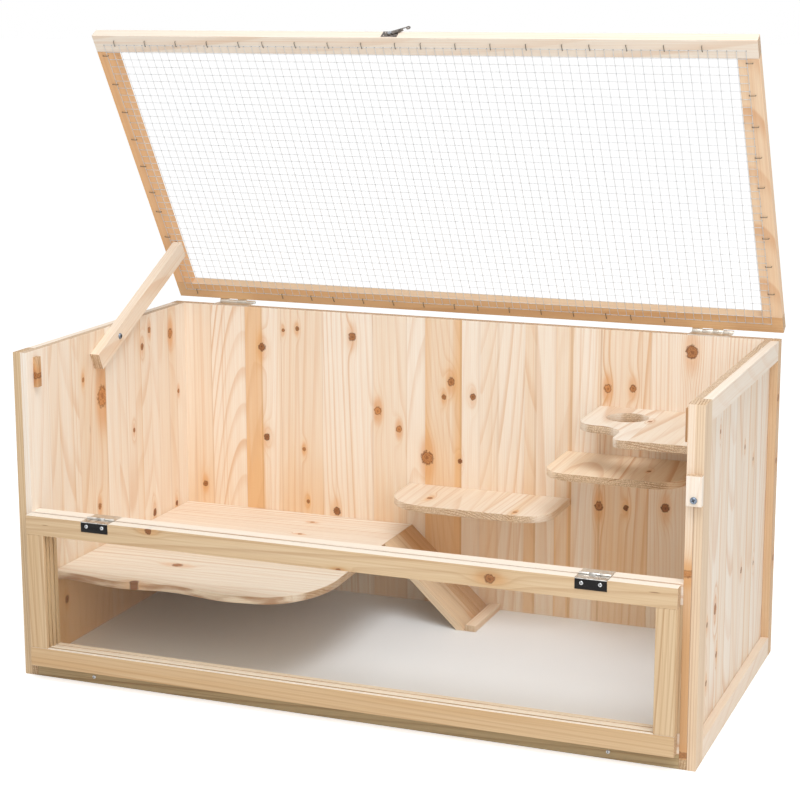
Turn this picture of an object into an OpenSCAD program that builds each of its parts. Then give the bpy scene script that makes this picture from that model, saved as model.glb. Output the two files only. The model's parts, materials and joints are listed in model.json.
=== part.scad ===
// Hamster cage of soft wood: a long case with a fold-down front flap, a propped mesh lid,
// an upper platform with a ramp, and three small wall shelves.
// Millimetres, +Z up, front towards -Y. The origin is the centre of the footprint, on the ground.

/* [Case] */
// outside width of the case
case_w = 1000; // [800:10:1400]
// outside depth of the case, back board included
case_d = 494; // [420:2:700]
// height of the case without the lid
case_h = 481; // [400:1:700]
// thickness of the frame on the outside of each side wall
frame_t = 12; // [8:0.5:14]
// thickness of the upright boards inside each side frame
board_t = 10; // [9:0.5:16]
// number of upright boards in each side wall
board_count = 6; // [4:1:8]
// width of the bevel along each board edge
board_bevel = 0.6; // [0.3:0.1:2]
// thickness of the back panel
back_t = 16; // [12:1:20]
// height of the end-grain batten under the side boards
sill_h = 14; // [10:1:20]
// width of the top rail on the side frame
side_top_w = 29; // [25:1:40]
// width of the bottom rail on the side frame
side_bottom_w = 29; // [25:1:45]
// width of the front stile on the side frame
side_front_w = 38; // [30:1:45]
// width of the rear stile on the side frame, which covers the end of the back panel
side_rear_w = 22; // [20:1:65]

/* [Floor] */
// height of the floor's upper surface
floor_top = 20; // [16:1:30]
// thickness of the coated floor board
floor_t = 8; // [5:0.5:12]
// width of each bearer under the floor
bearer_w = 40; // [30:1:60]
// number of bearers under the floor
bearer_count = 5; // [3:1:7]

/* [Front window] */
// thickness of the fixed window frame and of the base rail below it
window_t = 20; // [16:1:24]
// height of the crossbar's upper edge above the middle of the case
crossbar_rise = 7.9; // [0:0.1:30]
// distance of the base rail's screws from the outer case side
base_screw_x = 116; // [60:1:200]
// width of every rail and stile of the window and the flap
member_w = 28; // [22:1:36]
// thickness of the clear panes
pane_t = 3; // [2:0.5:4]
// how far each pane reaches into its groove
groove_depth = 8; // [5:0.5:12]
// gap between a pane and the walls of its groove
pane_gap = 0.3; // [0.1:0.05:0.5]

/* [Flap] */
// thickness of the flap frame
flap_t = 16; // [12:1:20]
// gap between each end of the flap and the side walls
flap_side_gap = 2; // [1:0.5:4]
// gap between the top of the closed flap and the top of the case
flap_top_gap = 6; // [4:0.5:12]
// distance of the flap's hinge line in front of the window frame
flap_axis_out = 2.5; // [2:0.1:4]
// distance of the flap's hinge line above the crossbar
flap_axis_up = 0.6; // [0.4:0.05:1]
// length of each flap hinge
flap_hinge_len = 43; // [30:1:60]
// distance of each flap hinge centre from the outer case side
flap_hinge_inset = 137; // [100:1:200]
// height of the hinge plate on the face of the flap
flap_plate_h = 15; // [12:0.5:20]
// thickness of the hinge leaves on the flap and the crossbar
flap_leaf_t = 0.9; // [0.7:0.1:1.2]
// outer radius of the flap hinge knuckles
flap_knuckle_r = 2.1; // [1.8:0.1:2.2]
// distance between the two screws of one hinge plate
flap_screw_pitch = 25; // [18:1:30]

/* [Lid] */
// thickness of the lid frame
lid_t = 16; // [12:1:20]
// width of the lid frame members
lid_member_w = 29; // [24:1:40]
// how far the lid reaches behind the back panel
lid_over = 12; // [8:1:20]
// gap between the case and the closed lid frame
lid_lift = 3; // [2.5:0.1:5]
// angle at which the lid stands open on its prop
lid_open = 58.8; // [45:0.1:75]
// length of each lid hinge
lid_hinge_len = 63; // [50:1:90]
// distance of each lid hinge's outer end from the case side
lid_hinge_inset = 74; // [50:1:150]
// thickness of the lid hinge leaves
lid_leaf_t = 1; // [0.8:0.1:1.2]
// height of the lid hinge leaves on the lid's rear edge
lid_leaf_h = 12; // [9:0.5:13]
// height of those leaves above the lid's underside
lid_leaf_lift = 2.4; // [1:0.1:3]
// outer radius of the lid hinge knuckles
lid_knuckle_r = 2.8; // [2.5:0.1:3]
// distance of the lid hinge line behind the back panel
lid_axis_out = 15.7; // [14:0.1:20]
// height of the lid hinge line above the case
lid_axis_up = 1.7; // [1.5:0.1:2]

/* [Mesh] */
// distance between neighbouring wires
wire_pitch = 12.8; // [10:0.1:20]
// thickness of one wire
wire_t = 0.8; // [0.6:0.1:1]
// distance of the outermost wires from the lid's outer edge
mesh_border = 16; // [12:1:20]
// distance between neighbouring staples
staple_pitch = 49; // [35:1:70]
// length of a staple's crown
staple_len = 9; // [7:0.5:12]
// thickness of the staple wire
staple_t = 0.7; // [0.5:0.1:1]

/* [Latch] */
// distance of the latch pivot left of the middle of the lid
latch_offset = 21; // [0:1:60]
// width of the latch base plate
latch_plate_w = 24; // [18:1:30]
// height of the latch base plate
latch_plate_h = 13; // [10:0.5:14]
// thickness of the latch base plate
latch_plate_t = 1; // [0.8:0.1:1.5]
// thickness of the swing hook
hook_t = 1.3; // [1:0.1:2]
// distance from the hook's pivot to the peg it catches
hook_reach = 22; // [22:1:34]
// width of the hook arm
hook_w = 8; // [7:0.5:12]
// angle at which the hook lies raised above the lid edge
hook_rise = 33; // [0:1:60]
// radius of the peg on the flap
peg_r = 1.8; // [1.5:0.1:2.2]

/* [Prop] */
// width of the prop strut
prop_w = 27; // [20:1:35]
// thickness of the prop strut
prop_t = 15; // [10:1:20]
// length of the strut from its screw to the end under the lid
prop_arm = 238.3; // [180:0.1:300]
// length of the strut's tail beyond its screw
prop_tail = 66; // [30:1:90]
// angle of the strut above the horizontal while it props the lid
prop_angle = 26.8; // [15:0.1:45]
// distance from the lid's hinge line to the strut's upper corner, along the lid
prop_bear = 120.6; // [90:0.1:160]
// gap between the strut's upper corner and the mesh
prop_gap = 0.4; // [0.3:0.05:0.6]

/* [Button and stops] */
// length of the turn button
button_len = 39; // [30:1:50]
// width of the turn button
button_w = 20; // [14:0.5:20]
// thickness of the turn button
button_t = 10; // [7:0.5:14]
// height of the turn button's screw above the ground
button_z = 361; // [300:1:420]
// length of the button below its screw
button_tail = 8; // [6:0.5:12]
// height of each stop block
stop_h = 44; // [30:1:60]
// width of each stop block, across the side wall
stop_w = 7; // [6:0.5:16]
// depth of each stop block, front to back
stop_d = 11; // [8:0.5:20]

/* [Platform and ramp] */
// height of the platform's upper surface
deck_top = 145; // [110:1:200]
// thickness of the platform
deck_t = 11; // [8:0.5:14]
// width of the platform at its front corner
deck_w = 409; // [300:1:500]
// distance from the front of the case to the mean line of the wavy edge
deck_front = 46; // [30:1:80]
// depth of the wave in the front edge
wave_amp = 5.5; // [0:0.5:12]
// length of one wave in the front edge
wave_len = 170; // [100:5:300]
// radius across the width of the rounded front corner
corner_rx = 85; // [40:1:120]
// radius along the depth of the rounded front corner
corner_ry = 115; // [40:1:160]
// how much narrower the platform is at the back
deck_taper = 7; // [0:1:20]
// width of the ramp
ramp_w = 118; // [80:1:160]
// horizontal length of the ramp
ramp_run = 133; // [100:1:250]
// thickness of the ramp
ramp_t = 10; // [8:0.5:14]
// width of the batten that holds the ramp's foot
foot_w = 17; // [12:1:25]
// height of the batten that holds the ramp's foot
foot_h = 10; // [8:0.5:16]
// cross-section of the battens under the platform
batten = 18; // [12:1:25]
// how far the batten on the back wall stops short of the platform's free end
batten_short = 120; // [40:1:200]

/* [Shelves] */
// thickness of the low and middle shelves
shelf_t = 11; // [8:0.5:14]
// height of the low shelf's upper surface
low_z = 213; // [180:1:260]
// distance of the low shelf's right end from the right case side
low_right = 314; // [250:1:350]
// length of the low shelf
low_len = 265; // [200:1:320]
// depth of the low shelf
low_d = 125; // [90:1:160]
// height of the middle shelf's upper surface
mid_z = 288; // [250:1:320]
// distance of the middle shelf's right end from the right case side
mid_right = 110; // [60:1:160]
// length of the middle shelf
mid_len = 210; // [160:1:260]
// depth of the middle shelf
mid_d = 140; // [100:1:180]
// height of the top shelf's upper surface
top_z = 363; // [330:1:400]
// thickness of the top shelf
top_t = 12; // [8:0.5:14]
// length of the top shelf, from the right wall
top_len = 247; // [200:1:300]
// depth of the top shelf's narrow left part
top_d = 133; // [100:1:160]
// depth of the top shelf's wide right part
top_wide_d = 212; // [160:1:260]
// length of the wide part of the top shelf, from the right wall
top_wide_len = 172; // [120:1:200]
// diameter of the hole in the top shelf
hole_d = 62; // [45:1:75]
// distance of the hole centre from the top shelf's left end
hole_in = 61; // [50:1:90]
// distance of the hole centre in front of the back panel
hole_back = 66; // [50:1:90]

/* [Screws] */
// radius of the small screw heads
head_r = 2.8; // [2.2:0.1:3.5]
// height of the small screw heads
head_h = 1.2; // [0.8:0.1:2]
// radius of the two pivot screw heads
pivot_head_r = 4.6; // [3.5:0.1:6]
// radius of the pivot screw shanks
shank_r = 1.8; // [1.4:0.1:2.4]
// gap around a shank in the part that turns on it
turn_gap = 0.35; // [0.2:0.05:0.6]
// gap between a part that turns and the face beside it
face_gap = 0.3; // [0.2:0.05:0.6]

/* [Hidden] */
x_left = -case_w / 2;
x_right = case_w / 2;
y_front = -case_d / 2;
y_back = case_d / 2;
y_wall = y_back - back_t;
side_t = frame_t + board_t;
x_in = case_w / 2 - side_t;
y_floor = y_front + window_t;
window_bottom = floor_top;
crossbar_top = case_h / 2 + crossbar_rise;
pane_in = groove_depth - pane_gap;
flap_half = x_in - flap_side_gap;
flap_top = crossbar_top;
flap_back = y_front - 2 * flap_axis_out;
flap_face = flap_back - flap_t;
flap_axis_y = y_front - flap_axis_out;
flap_axis_z = crossbar_top + flap_axis_up;
flap_bottom = 2 * flap_axis_z - (case_h - flap_top_gap);
flap_hinge_x = case_w / 2 - flap_hinge_inset;
flap_closed_y = y_front + flap_t + flap_leaf_t;
mortise = flap_leaf_t + 0.1;
flap_pin_r = flap_knuckle_r * 0.42;
flap_third = flap_hinge_len / 3;
lid_pin_r = lid_knuckle_r * 0.4;
lid_quarter = lid_hinge_len / 4;
lid_z = case_h + lid_lift;
lid_back = y_back + lid_over;
lid_axis_y = y_wall + back_t + lid_axis_out;
lid_axis_z = case_h + lid_axis_up;
lid_hinge_x = case_w / 2 - lid_hinge_inset - lid_hinge_len / 2;
mesh_half = case_w / 2 - mesh_border;
mesh_front = y_front + mesh_border;
mesh_back = lid_back - mesh_border;
long_count = floor((mesh_back - mesh_front) / wire_pitch);
cross_count = floor(2 * mesh_half / wire_pitch);
long_pitch = (mesh_back - mesh_front - wire_t) / long_count;
cross_pitch = (2 * mesh_half - wire_t) / cross_count;
mesh_z = lid_z - 2 * wire_t;
latch_x = -latch_offset;
latch_z = lid_z + lid_t / 2;
peg_z = 2 * flap_axis_z - (latch_z - hook_reach);
hook_y = y_front - latch_plate_t - face_gap - hook_t;
prop_x = -x_in + face_gap;
prop_dz = mesh_z - prop_gap - lid_axis_z;
prop_ay = lid_axis_y - prop_bear * cos(lid_open) + prop_dz * sin(lid_open);
prop_az = lid_axis_z + prop_bear * sin(lid_open) + prop_dz * cos(lid_open);
prop_sy = prop_ay - prop_arm * cos(prop_angle) + prop_w / 2 * sin(prop_angle);
prop_sz = prop_az - prop_arm * sin(prop_angle) - prop_w / 2 * cos(prop_angle);
low_x = x_right - low_right - low_len;
mid_x = x_right - mid_right - mid_len;
top_x = x_in - top_len;
button_x = x_right - frame_t + 2.3;
deck_left = -x_in;
deck_right = -x_in + deck_w;
deck_mean_y = y_front + deck_front;
ramp_top_x = deck_right - deck_taper + face_gap;
ramp_front = y_wall - ramp_w;
ramp_rise = deck_top - floor_top;
ramp_angle = atan(ramp_rise / ramp_run);
ramp_drop = ramp_t / cos(ramp_angle);
bore_n = 32;

// A block between two limits on each axis.
module block(x0, x1, y0, y1, z0, z1) {
  translate([x0, y0, z0]) cube([x1 - x0, y1 - y0, z1 - z0]);
}

// A part and its mirror image on the other side of the cage.
module both_sides() {
  children();
  mirror([1, 0, 0]) children();
}

// Places parts drawn for the closed lid on the open lid.
module on_lid() {
  translate([0, lid_axis_y, lid_axis_z]) rotate([-lid_open, 0, 0])
    translate([0, -lid_axis_y, -lid_axis_z]) children();
}

// A screw head that faces the front, its seat at the origin.
module head_front(r, h) {
  difference() {
    rotate([90, 0, 0]) union() {
      cylinder(h = h * 0.55, r = r, $fn = bore_n);
      translate([0, 0, h * 0.55]) cylinder(h = h * 0.45, r1 = r, r2 = r * 0.72, $fn = bore_n);
    }
    for (a = [0, 90]) rotate([0, a, 0])
      translate([-r * 0.55, -h - 0.1, -r * 0.12]) cube([r * 1.1, h * 0.6 + 0.1, r * 0.24]);
  }
}

// ---- side walls, drawn for the left and mirrored for the right ----

// Top and bottom rail on the outside of a side wall, fitted between the stiles.
module side_frame_rails() {
  block(x_left, x_left + frame_t, y_front + side_front_w, y_back - side_rear_w,
    case_h - side_top_w, case_h);
  block(x_left, x_left + frame_t, y_front + side_front_w, y_back - side_rear_w, 0, side_bottom_w);
}

// Front and rear stile on the outside of a side wall, full height.
module side_frame_stiles() {
  block(x_left, x_left + frame_t, y_front, y_front + side_front_w, 0, case_h);
  block(x_left, x_left + frame_t, y_back - side_rear_w, y_back, 0, case_h);
}

// Upright boards with bevelled edges that show as grooves from outside.
module side_boards() {
  board_w = (y_wall - y_front) / board_count;
  for (i = [0:board_count - 1]) translate([x_left + frame_t, y_front + i * board_w, sill_h])
    linear_extrude(height = case_h - sill_h)
      polygon([[0, board_bevel], [board_bevel, 0], [board_t, 0], [board_t, board_w],
        [board_bevel, board_w], [0, board_w - board_bevel]]);
}

// End-grain batten under the boards of a side wall.
module side_sill() {
  block(x_left + frame_t, -x_in, y_front, y_wall, 0, sill_h);
}

module left_frame_rails() {
  color([0.88, 0.79, 0.66]) side_frame_rails();
}

module left_frame_stiles() {
  color([0.88, 0.79, 0.66]) side_frame_stiles();
}

module left_boards() {
  color([0.92, 0.84, 0.72]) side_boards();
}

module left_sill() {
  color([0.8, 0.68, 0.52]) side_sill();
}

module right_frame_rails() {
  color([0.88, 0.79, 0.66]) mirror([1, 0, 0]) side_frame_rails();
}

// The right front stile is bored for the turn button's screw.
module right_frame_stiles() {
  color([0.9, 0.72, 0.5]) difference() {
    mirror([1, 0, 0]) side_frame_stiles();
    translate([button_x, y_front - 1, button_z]) rotate([-90, 0, 0])
      cylinder(h = 16, r = shank_r + 0.05, $fn = bore_n);
  }
}

module right_boards() {
  color([0.92, 0.84, 0.72]) mirror([1, 0, 0]) side_boards();
}

module right_sill() {
  color([0.8, 0.68, 0.52]) mirror([1, 0, 0]) side_sill();
}

// ---- back, floor and base ----

// One glued board behind the side boards, between the rear stiles of the side frames.
module back_panel() {
  color([0.93, 0.84, 0.7])
    block(x_left + frame_t, x_right - frame_t, y_wall, y_back, 0, case_h);
}

// Coated floor board on the bearers.
module floor_board() {
  color([0.93, 0.92, 0.9]) block(-x_in, x_in, y_floor, y_wall, floor_top - floor_t, floor_top);
}

// Bearers under the floor, front to back; the middle one rests on the ground at the origin.
module floor_bearers() {
  step = 2 * (x_in - bearer_w / 2) / (bearer_count - 1);
  color([0.8, 0.68, 0.52])
    for (i = [0:bearer_count - 1]) translate([-x_in + i * step, 0, 0])
      block(0, bearer_w, y_floor, y_wall, 0, floor_top - floor_t);
}

// Rail under the fixed window.
module base_rail() {
  color([0.68, 0.58, 0.44]) block(-x_in, x_in, y_front, y_floor, 0, floor_top);
}

// ---- fixed front window ----

// Groove in the frame members that holds a pane, and the pane itself.
module pane_solid(half, z0, z1, yc, reach, thick) {
  block(-half - reach, half + reach, yc - thick / 2, yc + thick / 2, z0 - reach, z1 + reach);
}

// Crossbar and bottom rail, grooved for the pane and let in for the hinge leaves.
module window_rails() {
  yc = y_front + window_t / 2;
  color([0.82, 0.68, 0.49]) difference() {
    union() {
      block(-x_in, x_in, y_front, y_floor, crossbar_top - member_w, crossbar_top);
      block(-x_in, x_in, y_front, y_floor, window_bottom, window_bottom + member_w);
    }
    pane_solid(x_in - member_w, window_bottom + member_w, crossbar_top - member_w, yc,
      groove_depth, pane_t + 2 * pane_gap);
    for (s = [-1, 1]) translate([s * flap_hinge_x, 0, 0])
      block(-flap_hinge_len / 2 - face_gap, flap_hinge_len / 2 + face_gap,
        y_front - 1, y_floor + 1, crossbar_top - mortise, crossbar_top + 1);
  }
}

// Upright members at both ends of the window.
module window_stiles() {
  yc = y_front + window_t / 2;
  color([0.82, 0.68, 0.49]) difference() {
    both_sides() block(x_in - member_w, x_in, y_front, y_floor,
      window_bottom + member_w, crossbar_top - member_w);
    pane_solid(x_in - member_w, window_bottom + member_w, crossbar_top - member_w, yc,
      groove_depth, pane_t + 2 * pane_gap);
  }
}

// Clear pane of the fixed window.
module window_pane() {
  color([0.8, 0.88, 0.9, 0.35]) pane_solid(x_in - member_w, window_bottom + member_w,
    crossbar_top - member_w, y_front + window_t / 2, pane_in, pane_t);
}

// Blocks on the side walls that the closed flap comes to rest against.
module stop_blocks() {
  color([0.9, 0.8, 0.64]) both_sides()
    block(x_in - stop_w, x_in, flap_closed_y + face_gap, flap_closed_y + face_gap + stop_d,
      case_h - 9 - stop_h, case_h - 9);
}

// ---- platform, ramp and shelves ----

// Height of the wavy line at a distance along the platform.
function wave_y(x) = deck_mean_y + wave_amp * cos(360 * (x - 198) / wave_len);

// Platform with a wavy front edge and a large rounded corner.
module platform() {
  x1 = deck_w - corner_rx;
  y1 = wave_y(x1);
  edge = [for (i = [0:40]) [x1 * i / 40, wave_y(x1 * i / 40)]];
  corner = [for (i = [1:16]) [x1 + corner_rx * sin(90 * i / 16),
    y1 + corner_ry * (1 - cos(90 * i / 16))]];
  color([0.94, 0.84, 0.7]) translate([deck_left, 0, deck_top - deck_t])
    linear_extrude(height = deck_t)
      polygon(concat(edge, corner, [[deck_w - deck_taper, ramp_front - 4],
        [deck_w - deck_taper, y_wall], [0, y_wall]]));
}

// Battens on the left wall and on the back wall that carry the platform.
module platform_battens() {
  color([0.8, 0.68, 0.52]) {
    block(-x_in, -x_in + batten, y_floor + 110, y_wall - batten,
      deck_top - deck_t - batten, deck_top - deck_t);
    block(-x_in, deck_right - batten_short, y_wall - batten, y_wall,
      deck_top - deck_t - batten, deck_top - deck_t);
  }
}

// Straight ramp board from the platform's edge down to the floor.
module ramp() {
  color([0.9, 0.8, 0.65]) translate([0, y_wall, 0]) rotate([90, 0, 0])
    linear_extrude(height = ramp_w)
      polygon([[ramp_top_x, deck_top], [ramp_top_x + ramp_run, floor_top],
        [ramp_top_x + ramp_run - ramp_t / sin(ramp_angle), floor_top],
        [ramp_top_x, deck_top - ramp_drop]]);
}

// Batten on the floor that holds the foot of the ramp.
module ramp_foot() {
  x0 = ramp_top_x + ramp_run + 0.1;
  color([0.9, 0.76, 0.56])
    block(x0, x0 + foot_w, ramp_front, y_wall, floor_top, floor_top + foot_h);
}

// Outline of a wall shelf: back edge straight, front corners rounded.
module shelf_outline(len, depth, r_left, r_right) {
  difference() {
    translate([0, -depth]) square([len, depth]);
    translate([-1, -depth - 1]) square([r_left + 1, r_left + 1]);
    translate([len - r_right, -depth - 1]) square([r_right + 1, r_right + 1]);
  }
  intersection() {
    translate([r_left, -depth + r_left]) circle(r = r_left, $fn = 64);
    translate([0, -depth]) square([r_left, r_left]);
  }
  intersection() {
    translate([len - r_right, -depth + r_right]) circle(r = r_right, $fn = 64);
    translate([len - r_right, -depth]) square([r_right, r_right]);
  }
}

module shelf_low() {
  color([0.93, 0.82, 0.67]) translate([low_x, y_wall, low_z - shelf_t])
    linear_extrude(height = shelf_t) shelf_outline(low_len, low_d, low_d * 0.55, low_d * 0.36);
}

module shelf_mid() {
  color([0.93, 0.82, 0.67]) translate([mid_x, y_wall, mid_z - shelf_t])
    linear_extrude(height = shelf_t) shelf_outline(mid_len, mid_d, mid_d * 0.3, mid_d * 0.3);
}

// Top shelf with a round hole, deeper towards the right wall.
module shelf_top() {
  len = top_len;
  step = len - top_wide_len;
  r_step = 38;
  r_wide = 16;
  color([0.93, 0.82, 0.67]) translate([top_x, y_wall, top_z - top_t])
    linear_extrude(height = top_t) difference() {
      union() {
        shelf_outline(len, top_d, top_d * 0.25, 1);
        difference() {
          translate([step, -top_wide_d]) square([len - step, top_wide_d]);
          translate([step - 1, -top_wide_d - 1]) square([r_wide + 1, r_wide + 1]);
        }
        translate([step + r_wide, -top_wide_d + r_wide]) circle(r = r_wide, $fn = 64);
        difference() {
          translate([step - r_step, -top_d - r_step]) square([r_step + 1, r_step + 1]);
          translate([step - r_step, -top_d - r_step]) circle(r = r_step, $fn = 64);
        }
      }
      translate([hole_in, -hole_back]) circle(d = hole_d, $fn = 64);
    }
}

// Screws of the base rail in front, and of the shelves and the platform through the back panel.
module case_screws() {
  color([0.75, 0.75, 0.74]) {
    for (s = [-1, 1]) translate([s * (case_w / 2 - base_screw_x), y_front, floor_top / 2])
      head_front(head_r, head_h);
    for (p = [[low_x, low_len, low_z - shelf_t / 2], [mid_x, mid_len, mid_z - shelf_t / 2],
        [top_x, top_len, top_z - top_t / 2],
        [deck_left, deck_w - deck_taper, deck_top - deck_t / 2]])
      for (f = [0.25, 0.75]) translate([p[0] + f * p[1], y_back, p[2]])
        mirror([0, 1, 0]) head_front(head_r, head_h);
  }
}

// ---- hinges of the flap ----

// One knuckle along X with a bore for the pin.
module knuckle(x0, len, r, bore) {
  translate([x0, 0, 0]) rotate([0, 90, 0]) difference() {
    cylinder(h = len, r = r, $fn = bore_n);
    translate([0, 0, -1]) cylinder(h = len + 2, r = bore, $fn = bore_n);
  }
}

// Leaves let into the crossbar, folded down behind it, with the two outer knuckles.
module bar_hinge_leaves() {
  h = flap_hinge_len / 2;
  color([0.6, 0.57, 0.5]) for (s = [-1, 1]) translate([s * flap_hinge_x, 0, 0]) {
    difference() {
      union() {
        block(-h, h, y_front + 0.3, y_floor + flap_leaf_t,
          crossbar_top - flap_leaf_t, crossbar_top);
        block(-h, h, y_floor, y_floor + flap_leaf_t,
          crossbar_top - flap_plate_h, crossbar_top);
        for (e = [-h, h - flap_third + face_gap])
          block(e, e + flap_third - face_gap, flap_axis_y + flap_pin_r + 0.45, y_front + 0.4,
            crossbar_top - flap_leaf_t, crossbar_top);
      }
      for (e = [-1, 1]) translate([e * flap_screw_pitch / 2, y_floor - 1, crossbar_top - 6.5])
        rotate([-90, 0, 0]) cylinder(h = 3, r = 1.5, $fn = bore_n);
    }
    for (e = [-h, h - flap_third + face_gap])
      translate([0, flap_axis_y, flap_axis_z])
        knuckle(e, flap_third - face_gap, flap_knuckle_r, flap_pin_r);
  }
}

// Pins of the flap hinges, fixed in the outer knuckles.
module flap_hinge_pins() {
  color([0.55, 0.55, 0.56]) for (s = [-1, 1])
    translate([s * flap_hinge_x - flap_hinge_len / 2 - 0.4, flap_axis_y, flap_axis_z])
      rotate([0, 90, 0]) cylinder(h = flap_hinge_len + 0.8, r = flap_pin_r, $fn = bore_n);
}

// Screws of the crossbar leaves, heads behind the crossbar.
module bar_hinge_screws() {
  color([0.78, 0.78, 0.8]) for (s = [-1, 1]) for (e = [-1, 1])
    translate([s * flap_hinge_x + e * flap_screw_pitch / 2, y_floor + flap_leaf_t,
      crossbar_top - 6.5]) mirror([0, 1, 0]) head_front(head_r, head_h);
}

// Leaves folded over the flap's upper edge, with the middle knuckle.
module flap_hinge_leaves() {
  h = flap_hinge_len / 2;
  color([0.1, 0.09, 0.09]) for (s = [-1, 1]) translate([s * flap_hinge_x, 0, 0]) {
    difference() {
      union() {
        block(-h, h, flap_face - flap_leaf_t, flap_back - 0.3,
          flap_top - flap_leaf_t, flap_top);
        block(-h, h, flap_face - flap_leaf_t, flap_face,
          flap_top - flap_plate_h, flap_top);
        block(-flap_third / 2, flap_third / 2, flap_back - 0.4,
          flap_axis_y - flap_pin_r - turn_gap - 0.1,
          flap_top - flap_leaf_t, flap_top);
      }
      for (e = [-1, 1]) translate([e * flap_screw_pitch / 2, flap_face - 2, flap_top - 6.5])
        rotate([-90, 0, 0]) cylinder(h = 3, r = 1.5, $fn = bore_n);
    }
    translate([0, flap_axis_y, flap_axis_z])
      knuckle(-flap_third / 2, flap_third, flap_knuckle_r, flap_pin_r + turn_gap);
  }
}

// Screws of the flap leaves.
module flap_hinge_screws() {
  color([0.78, 0.78, 0.8]) for (s = [-1, 1]) for (e = [-1, 1])
    translate([s * flap_hinge_x + e * flap_screw_pitch / 2, flap_face - flap_leaf_t,
      flap_top - 6.5]) head_front(head_r, head_h);
}

// ---- flap, drawn hanging down in front of the window ----

// Upper and lower rail of the flap, grooved for the pane and let in for the leaves.
module flap_rails() {
  yc = flap_back - flap_t / 2;
  color([0.84, 0.7, 0.51]) difference() {
    union() {
      block(-flap_half, flap_half, flap_face, flap_back, flap_top - member_w, flap_top);
      block(-flap_half, flap_half, flap_face, flap_back, flap_bottom, flap_bottom + member_w);
    }
    pane_solid(flap_half - member_w, flap_bottom + member_w, flap_top - member_w, yc,
      groove_depth, pane_t + 2 * pane_gap);
    for (s = [-1, 1]) translate([s * flap_hinge_x, 0, 0])
      block(-flap_hinge_len / 2 - face_gap, flap_hinge_len / 2 + face_gap,
        flap_face - 1, flap_back + 1, flap_top - mortise, flap_top + 1);
  }
}

// Upright members at both ends of the flap.
module flap_stiles() {
  yc = flap_back - flap_t / 2;
  color([0.84, 0.7, 0.51]) difference() {
    both_sides() block(flap_half - member_w, flap_half, flap_face, flap_back,
      flap_bottom + member_w, flap_top - member_w);
    pane_solid(flap_half - member_w, flap_bottom + member_w, flap_top - member_w, yc,
      groove_depth, pane_t + 2 * pane_gap);
  }
}

// Clear pane of the flap.
module flap_pane() {
  color([0.8, 0.88, 0.9, 0.35]) pane_solid(flap_half - member_w, flap_bottom + member_w,
    flap_top - member_w, flap_back - flap_t / 2, pane_in, pane_t);
}

// Peg on a round plate; it faces the window now and the room when the flap is closed.
module latch_peg() {
  color([0.5, 0.5, 0.5]) translate([latch_x, flap_back, peg_z]) rotate([-90, 0, 0]) {
    cylinder(h = latch_plate_t, r = peg_r + 3, $fn = bore_n);
    cylinder(h = latch_plate_t + face_gap + hook_t + 0.9, r = peg_r, $fn = bore_n);
  }
}

// ---- lid ----

// Front and rear rail of the lid, full width.
module lid_rails() {
  color([0.9, 0.78, 0.6]) on_lid() {
    block(x_left, x_right, y_front, y_front + lid_member_w, lid_z, lid_z + lid_t);
    block(x_left, x_right, lid_back - lid_member_w, lid_back, lid_z, lid_z + lid_t);
  }
}

// Left and right member of the lid, fitted between the rails.
module lid_stiles() {
  color([0.88, 0.68, 0.46]) on_lid() both_sides()
    block(x_right - lid_member_w, x_right, y_front + lid_member_w, lid_back - lid_member_w,
      lid_z, lid_z + lid_t);
}

// Wires that run along the cage, against the lid frame, tied by a wire at each end.
module mesh_long_wires() {
  color([0.7, 0.71, 0.72]) on_lid() {
    for (i = [0:long_count]) translate([0, mesh_front + i * long_pitch, 0])
      block(-mesh_half, mesh_half, 0, wire_t, lid_z - wire_t, lid_z);
    both_sides()
      block(mesh_half - wire_t, mesh_half, mesh_front, mesh_back, lid_z - wire_t, lid_z);
  }
}

// Wires that run front to back, on the long wires, tied by a wire at each end.
module mesh_cross_wires() {
  color([0.7, 0.71, 0.72]) on_lid() {
    for (i = [0:cross_count]) translate([-mesh_half + i * cross_pitch, 0, 0])
      block(0, wire_t, mesh_front, mesh_back, mesh_z, lid_z - wire_t);
    for (y = [mesh_front, mesh_back - wire_t])
      block(-mesh_half, mesh_half, y, y + wire_t, mesh_z, lid_z - wire_t);
  }
}

// One staple over the outermost wire: a crown along X, most of it towards +X, and two legs.
module staple() {
  z0 = mesh_z - 0.1 - staple_t;
  inner = -wire_t / 2 - 0.4 - staple_t;
  outer = staple_len + inner;
  block(inner, outer, -staple_t / 2, staple_t / 2, z0, z0 + staple_t);
  for (x = [inner, outer - staple_t]) block(x, x + staple_t, -staple_t / 2, staple_t / 2,
    z0, lid_z);
}

// Place of a staple along an edge of the mesh: in the middle of the opening nearest its turn.
function staple_at(i, pitch) = (floor((i + 0.5) * staple_pitch / pitch) + 0.5) * pitch;

// Staples around the lid that hold the mesh, clear of the hinges.
module mesh_staples() {
  nx = floor(2 * mesh_half / staple_pitch);
  ny = floor((mesh_back - mesh_front) / staple_pitch);
  clear = lid_hinge_len / 2 + staple_t + 1;
  color([0.75, 0.75, 0.76]) on_lid() {
    for (i = [0:nx - 1]) let (x = -mesh_half + staple_at(i, cross_pitch)) {
      translate([x, mesh_front + wire_t / 2, 0]) rotate([0, 0, -90]) staple();
      if (abs(abs(x) - lid_hinge_x) > clear)
        translate([x, mesh_back - wire_t / 2, 0]) rotate([0, 0, 90]) staple();
    }
    for (s = [-1, 1]) for (i = [0:ny - 1])
      translate([s * (mesh_half - wire_t / 2), mesh_front + staple_at(i, long_pitch), 0])
        rotate([0, 0, s > 0 ? 0 : 180]) staple();
  }
}

// ---- hinges of the lid ----

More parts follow.
